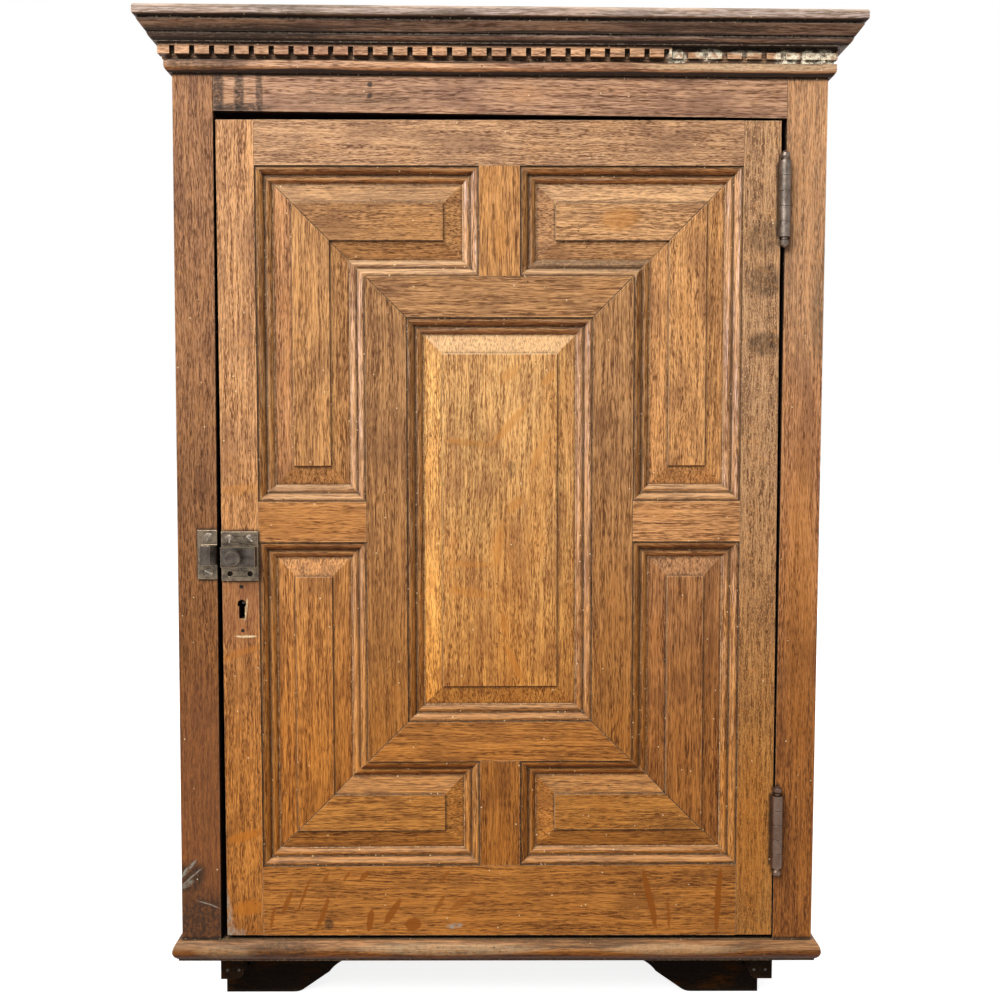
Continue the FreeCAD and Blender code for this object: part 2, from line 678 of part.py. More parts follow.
def tenon(body, outline):
    """Give a frame member the stub tenons that fill its neighbours' grooves."""
    pad_back(body, [outline], PANEL_FRONT, TONGUE_THICKNESS)


def door_stile_body(name, side):
    """An upright at the edge of the door, grooved on its inner edge."""
    stile = new_body(name)
    outer = f"{side} * {DOOR_HALF}"
    inner = f"{side} * {DOOR_CLEAR}"
    left, right = (outer, inner) if side < 0 else (inner, outer)
    outline = [(left, door_bottom(left)), (right, door_bottom(right)),
               (right, DOOR_TOP), (left, DOOR_TOP)]
    pad_back(stile, [outline], "0", "door_thickness")
    bottom = f"{inner} + {side} * groove_depth"
    left, right = (bottom, inner) if side < 0 else (inner, bottom)
    plough(stile, [rectangle(left, "0", right, f"{DOOR_TOP} + door_gap")])
    return stile


def make_door_stiles():
    """The latch stile with its keyhole, and the hinge stile."""
    latch = door_stile_body("latch_upright", -1)
    pocket_back(latch, [circle(KEY_X, "key_height", "key_radius")], "0", "door_thickness")
    slot = rectangle(f"{KEY_X} - key_slot / 2", "key_height - key_drop",
                     f"{KEY_X} + key_slot / 2", "key_height")
    pocket_back(latch, [slot], "0", "door_thickness")
    hang("door_stile_latch", latch)
    hang("door_stile_hinge", door_stile_body("hinge_upright", 1))


def make_door_rails():
    """Top and bottom rails, tenoned into the stiles."""
    end = f"({DOOR_CLEAR} + {TENON})"
    top = new_body("top_rail")
    low = z_at(FIELD_TOP)
    pad_back(top, [rectangle(f"-{DOOR_CLEAR}", low, DOOR_CLEAR, DOOR_TOP)], "0", "door_thickness")
    plough(top, [rectangle(f"-{DOOR_CLEAR}", low, DOOR_CLEAR, f"{low} + groove_depth")])
    tenon(top, rectangle(f"-{end}", f"{low} + groove_depth", end, DOOR_TOP))
    hang("door_rail_top", top)
    bottom = new_body("bottom_rail")
    high = z_at(f"-{FIELD_TOP}")
    left, right = f"-{DOOR_CLEAR}", DOOR_CLEAR
    outline = [(left, door_bottom(left)), (right, door_bottom(right)), (right, high), (left, high)]
    pad_back(bottom, [outline], "0", "door_thickness")
    plough(bottom, [rectangle(left, f"{high} - groove_depth", right, high)])
    tenon(bottom, [(f"-{end}", door_bottom(f"-{end}")), (end, door_bottom(end)),
                   (end, f"{high} - groove_depth"), (f"-{end}", f"{high} - groove_depth")])
    hang("door_rail_bottom", bottom)


def make_muntins():
    """Short uprights between the inner frame and the rails."""
    muntin = new_body("muntin")
    low, high = z_at(INNER_Z), z_at(FIELD_TOP)
    core = f"({MUNTIN_HALF} - groove_depth)"
    pad_back(muntin, [rectangle(f"-{MUNTIN_HALF}", low, MUNTIN_HALF, high)], "0", "door_thickness")
    plough(muntin, [rectangle(f"-{MUNTIN_HALF}", low, f"-{core}", high),
                    rectangle(core, low, MUNTIN_HALF, high)])
    tenon(muntin, rectangle(f"-{core}", f"{low} - {TENON}", core, f"{high} + {TENON}"))
    hang("door_muntin_top", muntin)
    hang("door_muntin_bottom", mirrored("muntin_image", muntin, "z", LAYOUT_CENTRE))


def make_cross_rails():
    """Short rails between the stiles and the inner frame."""
    rail = new_body("cross_rail_bar")
    left, right = f"-{DOOR_CLEAR}", f"-{INNER_X}"
    low, high = z_at(f"-{CROSS_HALF}"), z_at(CROSS_HALF)
    pad_back(rail, [rectangle(left, low, right, high)], "0", "door_thickness")
    plough(rail, [rectangle(left, low, right, f"{low} + groove_depth"),
                  rectangle(left, f"{high} - groove_depth", right, high)])
    tenon(rail, rectangle(f"{left} - {TENON}", f"{low} + groove_depth",
                          f"{right} + {TENON}", f"{high} - groove_depth"))
    hang("door_crossrail_left", rail)
    hang("door_crossrail_right", mirrored("cross_rail_image", rail, "x"))


def make_inner_frame():
    """The mitred frame round the centre panel, grooved inside and out."""
    side = new_body("inner_upright")
    outline = [(f"-{INNER_X}", z_at(f"mitre_gap - {INNER_Z}")),
               ("-centre_half_width", z_at(f"mitre_gap - {CENTRE_Z}")),
               ("-centre_half_width", z_at(f"{CENTRE_Z} - mitre_gap")),
               (f"-{INNER_X}", z_at(f"{INNER_Z} - mitre_gap"))]
    pad_back(side, [outline], "0", "door_thickness")
    low, high = z_at(f"-{INNER_Z}"), z_at(INNER_Z)
    plough(side, [rectangle(f"-{INNER_X}", low, f"groove_depth - {INNER_X}", high),
                  rectangle("-centre_half_width - groove_depth", low, "-centre_half_width", high)])
    hang("inner_frame_left", side)
    hang("inner_frame_right", mirrored("inner_upright_image", side, "x"))
    head = new_body("inner_head")
    inside, outside = z_at(CENTRE_Z), z_at(INNER_Z)
    outline = [(f"mitre_gap - {INNER_X}", outside), ("mitre_gap - centre_half_width", inside),
               ("centre_half_width - mitre_gap", inside), (f"{INNER_X} - mitre_gap", outside)]
    pad_back(head, [outline], "0", "door_thickness")
    plough(head, [rectangle(f"-{INNER_X}", f"{outside} - groove_depth", INNER_X, outside),
                  rectangle(f"-{INNER_X}", inside, INNER_X, f"{inside} + groove_depth")])
    hang("inner_frame_top", head)
    hang("inner_frame_bottom", mirrored("inner_head_image", head, "z", LAYOUT_CENTRE))


# Raised panels

def bevel_cut(edge, way):
    """The wedge that bevels a panel from an edge; way is 1 or -1 towards the panel's middle."""
    return [(edge, PANEL_FRONT), (edge, "bevel_top"), (f"{edge} + {way} * bevel_width", "bevel_top")]


def raise_panel(body, outline_at, sides, ends):
    """A panel with a tongue, a bevel and a raised field; outline_at gives its outline for an inset.

    Sides and ends list its upright and level edges, each with the way to the panel's middle.
    """
    pad_back(body, [outline_at(f"-{TENON}")], PANEL_FRONT, TONGUE_THICKNESS)
    pad_front(body, [outline_at("moulding_width")], PANEL_FRONT, f"{PANEL_FRONT} - bevel_top")
    pocket_through(body, "XY", [bevel_cut(edge, way) for edge, way in sides])
    turned = [[(depth, height) for height, depth in bevel_cut(edge, way)] for edge, way in ends]
    pocket_through(body, "YZ", turned)
    field = "moulding_width + bevel_width"
    pad_front(body, [outline_at(field)], "bevel_top", "bevel_top - field_depth")


def upright_leg(inset):
    """The upper left panel's upright leg, mitred at its head."""
    outer, inner = f"{inset} - {DOOR_CLEAR}", f"-{INNER_X} - ({inset})"
    low = z_at(f"{CROSS_HALF} + ({inset})")
    return [(outer, low), (inner, low), (inner, z_at(f"{INNER_Z} + ({inset}) - mitre_gap")),
            (outer, z_at(f"{FIELD_TOP} - ({inset}) - mitre_gap"))]


def cross_leg(inset):
    """The upper left panel's level leg, mitred at its outer end."""
    low, high = z_at(f"{INNER_Z} + ({inset})"), z_at(f"{FIELD_TOP} - ({inset})")
    end = f"-{MUNTIN_HALF} - ({inset})"
    return [(f"mitre_gap - {INNER_X} - ({inset})", low), (end, low), (end, high),
            (f"mitre_gap + ({inset}) - {DOOR_CLEAR}", high)]


def centre_outline(inset):
    """The centre panel."""
    wide, tall = f"(centre_half_width - ({inset}))", f"({CENTRE_Z} - ({inset}))"
    return rectangle(f"-{wide}", z_at(f"-{tall}"), wide, z_at(tall))


def make_panels():
    """The centre panel and the four elbow panels, each of two mitred legs."""
    centre = new_body("centre_board")
    wide, tall = "(centre_half_width - moulding_width)", f"({CENTRE_Z} - moulding_width)"
    raise_panel(centre, centre_outline, [(f"-{wide}", 1), (wide, -1)],
                [(z_at(f"-{tall}"), 1), (z_at(tall), -1)])
    hang("centre_panel", centre)
    upright_edges = ([(f"moulding_width - {DOOR_CLEAR}", 1), (f"-{INNER_X} - moulding_width", -1)],
                     [(z_at(f"{CROSS_HALF} + moulding_width"), 1)])
    cross_edges = ([(f"-{MUNTIN_HALF} - moulding_width", -1)],
                   [(z_at(f"{INNER_Z} + moulding_width"), 1), (z_at(f"{FIELD_TOP} - moulding_width"), -1)])
    for kind, outline_at, edges in (("upright", upright_leg, upright_edges),
                                    ("cross", cross_leg, cross_edges)):
        leg = new_body(f"{kind}_leg")
        raise_panel(leg, outline_at, *edges)
        right = mirrored(f"{kind}_leg_right", leg, "x")
        hang(f"panel_upper_left_{kind}", leg)
        hang(f"panel_upper_right_{kind}", right)
        hang(f"panel_lower_left_{kind}", mirrored(f"{kind}_leg_low", leg, "z", LAYOUT_CENTRE))
        hang(f"panel_lower_right_{kind}", mirrored(f"{kind}_leg_low_right", right, "z", LAYOUT_CENTRE))


# Panel mouldings

def moulding_profile(place, turn):
    """The stuck profile: a lip, an ovolo, a quirk and a flat bead. place maps inset and depth."""
    return [place("0", PANEL_FRONT), place("0", "lip_depth"), place("lip_width", "lip_depth"),
            (*place("ovolo_width", "ovolo_depth"), "ovolo_radius", turn),
            place("ovolo_width", "quirk_depth"), place("bead_start", "quirk_depth"),
            (*place("bead_width", "bead_depth"), "bead_radius", turn), place("moulding_width", PANEL_FRONT)]


def end_cut(edge, far, end, towards, reflex):
    """The triangle that mitres one end; a reflex corner is longer on the panel's side."""
    if reflex:
        beyond = f"{end} + {towards} * moulding_width"
        return [(edge, end), (edge, beyond), (far, beyond)]
    return [(edge, end), (far, end), (far, f"{end} - {towards} * moulding_width")]


def moulding_length(name, run, edge, side, low, high, reflex_low=False, reflex_high=False):
    """One mitred length against a frame edge; side is the way from the edge to the panel."""
    body = new_body(name)
    far = f"{edge} + {side} * moulding_width"
    start = f"{low} - moulding_width" if reflex_low else low
    finish = f"{high} + moulding_width" if reflex_high else high
    length = f"({finish}) - ({start})"
    cuts = [end_cut(edge, far, low, -1, reflex_low), end_cut(edge, far, high, 1, reflex_high)]
    if run == "upright":
        profile = moulding_profile(lambda u, y: (f"{edge} + {side} * ({u})", y), side)
        pad_along(body, "XY", [profile], start, length)
    else:
        profile = moulding_profile(lambda u, y: (y, f"{edge} + {side} * ({u})"), -side)
        pad_along(body, "YZ", [profile], start, length)
        cuts = [[(z, x) for x, z in triangle] for triangle in cuts]
    pocket_through(body, "XZ", cuts)
    return body


def four_ways(name, quarter):
    """A piece of the upper left quarter with its images in the other three."""
    right = mirrored(f"{name}_right", quarter, "x")
    pair = group(f"{name}_pair", [quarter, right])
    return [quarter, right, mirrored(f"{name}_low", pair, "z", LAYOUT_CENTRE)]


def make_panel_mouldings():
    """Mitred lengths round all five panels: the uprights in one group, the level ones in another."""
    top, elbow, sill = z_at(FIELD_TOP), z_at(INNER_Z), z_at(CROSS_HALF)
    clear, inner, muntin = f"-{DOOR_CLEAR}", f"-{INNER_X}", f"-{MUNTIN_HALF}"
    uprights = [moulding_length("outer_upright", "upright", clear, 1, sill, top),
                moulding_length("muntin_upright", "upright", muntin, -1, elbow, top),
                moulding_length("elbow_upright", "upright", inner, -1, sill, elbow, reflex_high=True)]
    crosses = [moulding_length("outer_cross", "cross", top, -1, clear, muntin),
               moulding_length("elbow_cross", "cross", elbow, 1, inner, muntin, reflex_low=True),
               moulding_length("sill_cross", "cross", sill, 1, clear, inner)]
    centre_side = moulding_length("centre_side", "upright", "-centre_half_width", 1,
                                  z_at(f"-{CENTRE_Z}"), z_at(CENTRE_Z))
    centre_head = moulding_length("centre_head", "cross", z_at(CENTRE_Z), -1,
                                  "-centre_half_width", "centre_half_width")
    lengths = four_ways("upright_lengths", group("upright_quarter", uprights))
    hang("panel_moulding_uprights", *lengths, centre_side, mirrored("centre_side_image", centre_side, "x"))
    lengths = four_ways("cross_lengths", group("cross_quarter", crosses))
    hang("panel_moulding_crosses", *lengths, centre_head,
         mirrored("centre_head_image", centre_head, "z", LAYOUT_CENTRE))


# Hinges

def leaf_with_knuckles(name, middle, side, numbers):
    """One hinge leaf with its plate in the gap and its own knuckles on the barrel."""
    near, far = "leaf_gap / 2", "leaf_gap / 2 + leaf_thickness"
    left, right = (near, far) if side > 0 else (f"-({far})", f"-({near})")
    left, right = f"{HINGE_X} + ({left})", f"{HINGE_X} + ({right})"
    bottom = f"({middle} - barrel_length / 2)"
    pieces = [box(f"{name}_plate", (left, "0", bottom), (right, "leaf_width", f"{bottom} + barrel_length"))]
    for number in numbers:
        low = f"{bottom} + {number} * ({KNUCKLE} + knuckle_gap)"
        pieces.append(cylinder(f"{name}_knuckle", HINGE_X, HINGE_Y, low, "barrel_radius", KNUCKLE))
        high = f"{low} + {KNUCKLE}"
        pieces.append(box(f"{name}_tab", (left, HINGE_Y, low), (right, "leaf_width / 2", high)))
    bore = cylinder(f"{name}_bore", HINGE_X, HINGE_Y, bottom, "pin_radius + pin_play", "barrel_length")
    return cut(f"{name}_bored", fuse(f"{name}_joined", pieces), bore)


def hinge_pin(name, middle):
    """A pin that ends in a turned knop above and below the barrel."""
    pin = new_body(name)
    neck = "(barrel_length / 2 + finial_neck)"
    knop = [("pin_radius", neck)]
    for wide, high in KNOP_STEPS:
        knop.append((f"{wide} * finial_radius", f"{neck} + {high} * finial_length"))
    outline = [*knop, *((x, f"-({z})") for x, z in reversed(knop))]
    sketch = sketch_on(pin, "XZ", [outline])
    turned = pin.newObject("PartDesign::Revolution", f"{name}_turned")
    turned.Profile = sketch
    turned.ReferenceAxis = (sketch, ["V_Axis"])
    turned.Angle = 360
    pin.Tip = turned
    for axis, place in zip("xyz", (HINGE_X, HINGE_Y, middle)):
        bind(pin, f"Placement.Base.{axis}", place)
    return pin


def make_hinges():
    """Two butt hinges: three knuckles on the carcass leaf, two on the door leaf, and a pin."""
    frame_leaves, door_leaves, pins = [], [], []
    knuckles = range(int(value("knuckle_count")))
    for name, middle in HINGES.items():
        frame_leaves.append(leaf_with_knuckles(f"{name}_frame_leaf", middle, 1, knuckles[0::2]))
        door_leaves.append(leaf_with_knuckles(f"{name}_door_leaf", middle, -1, knuckles[1::2]))
        pins.append(hinge_pin(f"{name}_pin", middle))
    hang("hinge_leaves_frame", *frame_leaves)
    hang("hinge_leaves_door", *door_leaves)
    hang("hinge_pins", *pins)


# Turn latch

def centred(x, z, width, height):
    """A rectangle about a centre."""
    half_wide, half_high = f"({width}) / 2", f"({height}) / 2"
    return rectangle(f"{x} - {half_wide}", f"{z} - {half_high}", f"{x} + {half_wide}", f"{z} + {half_high}")


def make_latch_case():
    """The latch plate with its hollow case, the mouth for the bolt and the hole for the spindle."""
    case = new_body("latch_casting")
    z = "latch_height"
    pad_front(case, [centred(LATCH_X, z, "latch_width", "plate_height")], "0", "plate_thickness")
    outside = centred(LATCH_X, z, "case_width", "case_height")
    pad_front(case, [outside], "-plate_thickness", "case_out - plate_thickness")
    inside = centred(LATCH_X, z, "case_width - 2 * case_end_wall", "case_height - 2 * case_wall")
    deep = "case_out - case_wall"
    pocket_back(case, [inside], f"-({deep})", deep)
    mouth = rectangle(f"{LATCH_X} - latch_width", f"{z} - bolt_nose / 2 - bolt_play", LATCH_X,
                      f"{z} + bolt_nose / 2 + bolt_play")
    pocket_back(case, [mouth], "-bolt_thickness - 2 * bolt_play", "bolt_thickness + 2 * bolt_play")
    pocket_back(case, [circle(KNOB_X, z, "spindle_radius + spindle_play")], "-case_out", "case_out")
    holes = []
    for side in (-1, 1):
        for level in (-1, 1):
            x = f"{LATCH_X} + {side} * screw_spread_x / 2"
            holes.append(circle(x, f"{z} + {level} * screw_spread_z / 2", "screw_hole"))
    pocket_back(case, holes, "-plate_thickness", "plate_thickness")
    hang("latch_case", case)


def make_latch_bolt():
    """The sliding bolt, withdrawn; its tail has an open slot for the crank pin."""
    bolt = new_body("latch_slide")
    z = "latch_height"
    pin_x = f"({KNOB_X} + {CRANK_X})"
    slot = "(crank_pin + crank_slot_play)"
    slot_floor = f"{z} + {CRANK_Z} - {slot}"
    tip = f"{LATCH_X} - latch_width / 2 + bolt_set_in"
    tail_left, tail_right = f"{LATCH_X} - bolt_tail_left", f"{LATCH_X} + bolt_tail_right"
    nose_low, nose_high = f"{z} - bolt_nose / 2", f"{z} + bolt_nose / 2"
    tail_low, tail_high = f"{z} - bolt_tail / 2", f"{z} + bolt_tail / 2"
    outline = [(tip, nose_low), (tail_left, nose_low), (tail_left, tail_low), (tail_right, tail_low),
               (tail_right, tail_high), (f"{pin_x} + {slot}", tail_high), (f"{pin_x} + {slot}", slot_floor),
               (f"{pin_x} - {slot}", slot_floor), (f"{pin_x} - {slot}", tail_high), (tail_left, tail_high),
               (tail_left, nose_high), (tip, nose_high)]
    pad_front(bolt, [outline], "-bolt_play", "bolt_thickness")
    hang("latch_bolt", bolt)


def make_latch_knob():
    """The knob, its spindle, and the crank disc and pin that drive the bolt."""
    knob = new_body("latch_turn")
    crank_back = "(bolt_thickness + 2 * bolt_play)"
    crank_front = f"({crank_back} + crank_thickness)"
    neck_back = "(case_out + bolt_play)"
    outline = [("0", crank_back), ("crank_disc", crank_back), ("crank_disc", crank_front),
               ("spindle_radius", crank_front), ("spindle_radius", neck_back),
               ("knob_neck", neck_back), ("knob_neck", "knob_start"),
               ("knob_radius", "knob_start + knob_flare"), ("knob_radius", "knob_out - knob_round"),
               ("knob_radius - knob_round", "knob_out"), ("0", "knob_out")]
    sketch = sketch_on(knob, "XZ", [outline])
    turned = knob.newObject("PartDesign::Revolution", "latch_turn_turned")
    turned.Profile = sketch
    turned.ReferenceAxis = (sketch, ["V_Axis"])
    turned.Angle = 360
    knob.Tip = turned
    pin = sketch_on(knob, "XY", [circle(CRANK_X, CRANK_Z, "crank_pin")], "bolt_play * 2")
    add_feature(knob, "Pad", pin, f"{crank_back} - bolt_play", False)
    facing = FreeCAD.Rotation(FreeCAD.Vector(1, 0, 0), 90)
    knob.Placement = FreeCAD.Placement(FreeCAD.Vector(value(KNOB_X), 0, value("latch_height")), facing)
    hang("latch_knob", knob)


def make_keeper():
    """The keeper on the carcass stile, a plate with a box open towards the bolt."""
    keeper = new_body("keeper_casting")
    right = f"(keeper_plate_set - {OPENING_HALF})"
    left = f"({right} - keeper_width)"
    z = f"(latch_height - {OPENING_HALF} * {SAG_SLOPE} + keeper_rise)"
    low, high = f"{z} - plate_height / 2", f"{z} + plate_height / 2"
    pad_front(keeper, [rectangle(left, low, right, high)], "0", "plate_thickness")
    box_low, box_high = f"{z} - keeper_box_height / 2", f"{z} + keeper_box_height / 2"
    outside = rectangle(f"{right} - keeper_box", box_low, right, box_high)
    pad_front(keeper, [outside], "-plate_thickness", "keeper_out - plate_thickness")
    inside = rectangle(f"{right} - keeper_box + keeper_end_wall", f"{box_low} + keeper_wall",
                       f"{right} + keeper_wall", f"{box_high} - keeper_wall")
    pocket_back(keeper, [inside], "-keeper_pocket", "keeper_pocket")
    cheek = [(f"{right} - cheek_width", "-keeper_out"), (right, "-keeper_out"),
             (right, "cheek_drop - keeper_out")]
    pocket_through(keeper, "XY", [cheek])
    holes = []
    for level in (-1, 1):
        height = f"{z} + {level} * screw_spread_z / 2"
        holes.append(circle(f"{right} - keeper_screw_in", height, "screw_hole"))
    pocket_back(keeper, holes, "-plate_thickness", "plate_thickness")
    stand("latch_keeper", keeper)


# Lock

def make_lock_case():
    """The lock's case on the back of the latch stile, with the pin that the key turns on."""
    case = new_body("lock_box")
    low, high = "key_height - lock_below", "key_height + lock_above"
    back = "door_thickness"
    pad_back(case, [rectangle(LOCK_LEFT, low, LOCK_RIGHT, high)], back, "lock_out")
    inside = rectangle(f"{LOCK_LEFT} + lock_wall", f"{low} + lock_wall",
                       f"{LOCK_RIGHT} - lock_wall", f"{high} - lock_wall")
    pocket_back(case, [inside], back, "lock_out - lock_wall")
    mouth_low = f"{LOCK_BOLT_LOW} - lock_bolt_play"
    mouth_high = f"{LOCK_BOLT_LOW} + lock_bolt_height + lock_bolt_play"
    mouth = rectangle(f"{LOCK_LEFT} - lock_wall", mouth_low, f"{LOCK_LEFT} + 2 * lock_wall", mouth_high)
    pocket_back(case, [mouth], f"{back} + lock_wall", "lock_out - 2 * lock_wall")
    pin = circle(KEY_X, "key_height", "lock_pin")
    pad_back(case, [pin], "lock_pin_front", "door_thickness + lock_out - lock_wall - lock_pin_front")
    hang("lock_case", case)


def make_lock_bolt():
    """The lock bolt, withdrawn, with the notch that the key moves it by."""
    bolt = new_body("lock_slide")
    tip, tail = f"{LOCK_LEFT} + lock_bolt_play", f"{LOCK_LEFT} + lock_bolt_length"
    low, high = LOCK_BOLT_LOW, f"{LOCK_BOLT_LOW} + lock_bolt_height"
    talon = f"{LOCK_LEFT} + talon_in"
    outline = [(tip, low), (talon, low), (talon, f"{low} + talon_height"),
               (f"{talon} + talon_width", f"{low} + talon_height"), (f"{talon} + talon_width", low),
               (tail, low), (tail, high), (tip, high)]
    front = "door_thickness + (lock_out - lock_bolt_thickness) / 2 - lock_bolt_play"
    pad_back(bolt, [outline], front, "lock_bolt_thickness")
    hang("lock_bolt", bolt)


def check_document():
    """Stop if any object failed or any sub-part is not a set of sound solids."""
    doc.recompute()
    for thing in doc.Objects:
        if "Invalid" in thing.State or "Error" in thing.State:
            raise RuntimeError(f"{thing.Label} failed: {thing.State}")
    for node in nodes:
        shape = node.Shape
        if shape.isNull() or not shape.isValid() or not shape.Solids:
            raise RuntimeError(f"{node.Label} is not a sound shape")


def write_parts():
    """Write each sub-part to its own file."""
    os.makedirs("parts", exist_ok=True)
    for node in nodes:
        solids = node.Shape.Solids
        shape = solids[0] if len(solids) == 1 else node.Shape
        shape.exportStep(f"parts/{node.Label}.step")


def main():
    """Build the cabinet piece by piece and write it out."""
    fill_sheet()
    for make in (make_sides, make_shelves, make_back, make_top_and_bottom, make_frieze_rail,
                 make_carcass_stiles, make_crown, make_bed_mould, make_base_mould, make_dentils,
                 make_runners, make_brackets, make_door_stiles, make_door_rails, make_muntins,
                 make_cross_rails, make_inner_frame, make_panels, make_panel_mouldings, make_hinges,
                 make_latch_case, make_latch_bolt, make_latch_knob, make_keeper, make_lock_case,
                 make_lock_bolt):
        make()
    check_document()
    write_parts()
    print(len(nodes), "sub-parts written")


main()
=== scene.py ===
"""Looks of an antique oak medicine cabinet: worn waxed oak, iron hinges, a bronze turn latch and a stage."""
import math

import bpy
from bpy.props import FloatProperty, FloatVectorProperty, PointerProperty
from mathutils import Euler, Matrix, Vector


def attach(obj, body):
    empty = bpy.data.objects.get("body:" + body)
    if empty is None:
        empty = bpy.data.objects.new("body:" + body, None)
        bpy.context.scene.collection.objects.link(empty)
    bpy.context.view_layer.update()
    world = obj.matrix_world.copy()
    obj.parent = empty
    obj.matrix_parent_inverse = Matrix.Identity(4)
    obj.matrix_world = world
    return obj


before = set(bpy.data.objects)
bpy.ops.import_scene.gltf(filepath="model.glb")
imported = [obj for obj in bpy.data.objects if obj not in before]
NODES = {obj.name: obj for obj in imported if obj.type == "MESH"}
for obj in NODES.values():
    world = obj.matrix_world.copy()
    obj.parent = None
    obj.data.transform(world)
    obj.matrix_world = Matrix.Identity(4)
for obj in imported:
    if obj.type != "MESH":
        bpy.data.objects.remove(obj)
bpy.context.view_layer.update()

bl_info = {
    "name": "Oak Medicine Cabinet",
    "version": (1, 0, 0),
    "blender": (4, 5, 0),
    "location": "3D View > Sidebar > Cabinet",
    "description": "Finishes a worn oak medicine cabinet on its packed frame and sets a plain stage",
    "category": "Object",
}

MM = 0.001
WHITE = (1.0, 1.0, 1.0)

# A board's own axes are across, deep and along. These turns bring its length to the third one.
GRAIN_TURN = {"x": (0.0, math.radians(90), 0.0), "y": (math.radians(90), 0.0, 0.0), "z": (0.0, 0.0, 0.0)}

# The door hangs out of square on its hinges. Its middle height, its shift, the depth of the front face and
# the height of the bottom board's top are in millimetres.
DOOR_SAG = math.radians(0.3)
DOOR_MIDDLE = 333.0
DOOR_SHIFT = 0.4
FRONT_FACE = -95.75
BOARD_TOP = 62.0

# How far the grain of one board lies from that of the next, and how far it bends, in millimetres
SEED_STEP, BEND = (37.0, 61.0, 113.0), 9.0

# Widths and lengths of what shows in the grain, in millimetres
DRIFT, BANDS, LINES, FIBRE = (30, 140), (3.0, 130), (0.8, 20), (0.6, 4.4)
CLOUDS, MOTTLE, FISH_SCALES = (22, 60), (2.4, 3.2), (0.95, 1.7)
RIDGE_LINES, BLACK_LINES = (1.1, 38), (4.0, 60)

# Ribbons of ray: width, run in which one steps aside, thickness and wave in millimetres, and slope
RAY_WIDTH, RAY_RUN, RAY_THICK, RAY_WAVE, RAY_SLOPE = 15, 90, 4.6, 26, 0.35

# Shares of a board's own colour in each part of its grain
EARLY_WOOD, LATE_WOOD = (1.68, 1.70, 1.39), (0.40, 0.30, 0.22)
PALE_FLECK, PALE_SCALE, PORE = (1.85, 1.95, 1.9), (1.75, 1.80, 1.35), (0.24, 0.17, 0.12)
DULL_CLOUD, GOLD_CLOUD = (0.60, 0.54, 0.50), (1.30, 1.22, 0.95)

# Heights between which the painted shade near the floor fades and the painted highlight on upper faces grows,
# depths between which the marks begin, and how far their edges wander with the mottle, the clouds and the
# drift, in millimetres
LOW_SHADE_HEIGHTS, TOP_LIGHT_HEIGHTS, MARK_DEPTHS = (70.0, 620.0), (360.0, 540.0), (-84.0, -86.0)
MARK_FRAY, MARK_SWAY, MARK_LIFT = 2.4, 3.0, 5.0
# Colour of the painted shadow deep in the gaps
NEAR_BLACK = (0.006, 0.006, 0.007)

# Reach of the dirt and painted shade in creases and recesses, width of the rubbed edges and depth of the grain,
# in metres
CREASE, RECESS, RUB, GRAIN_DEPTH = 3.0 * MM, 24.0 * MM, 1.3 * MM, 0.18 * MM

# Specks: spacing and size in millimetres, and the share of places that have one
DOTS, CREASE_DOTS, PITS = (9.0, 0.75, 0.45), (5.0, 0.75, 0.95), (13.0, 0.9, 0.40)

# Metal: patches and grains to the metre, then in metres the reach of its dark patina and painted shade in
# hollows, the width of its rubbed edges, the depth of its grit and the heights between which it darkens towards
# the floor, and the tint of a black bloom
BLOOM, GRIT = 160.0, 900.0
METAL_RECESS, METAL_RUB, GRIT_DEPTH, LOW_DARK_HEIGHTS = 5.0 * MM, 0.9 * MM, 0.14 * MM, (0.40, 0.25)
BLACK_BLOOM = (0.03, 0.022, 0.016)

# Reach of the weld and the least angle of an edge that is rounded
WELD_REACH, EDGE_ANGLE = 0.002 * MM, math.radians(38)

# Kinds of mark: in the grain; stains, dirt and painted shade over it; and flakes lying on the dirt and shade
GRAIN_MARKS, STAINS_AND_SHADE, FLAKES = ("ray", "flame"), ("blush", "dirt", "chip", "pale", "seam"), ("flake",)

# How soft the edge of a kind of mark is, and how much of it is torn away to the wood below
SOFT_EDGE = (1.7, 0.4)
EDGE = {"ray": (1.8, 0.3), "flame": (1.3, 0.8), "flake": (1.5, 0.7)}
TORN = {"dirt": 0.38, "chip": 0.8, "pale": 0.5, "flake": 0.85}


def tone(name, description, colour):
    """A colour that a user would change."""
    return FloatVectorProperty(name=name, description=description, default=colour, subtype="COLOR", size=3,
                               min=0.0, max=1.0)


def length(name, description, millimetres):
    """A size that a user would change, given in millimetres and kept in metres."""
    return FloatProperty(name=name, description=description, default=millimetres * MM, unit="LENGTH", min=0.0)


def share(name, description, value, most=1.0):
    """A strength from nothing to its most."""
    return FloatProperty(name=name, description=description, default=value, subtype="FACTOR", min=0.0,
                         max=most)


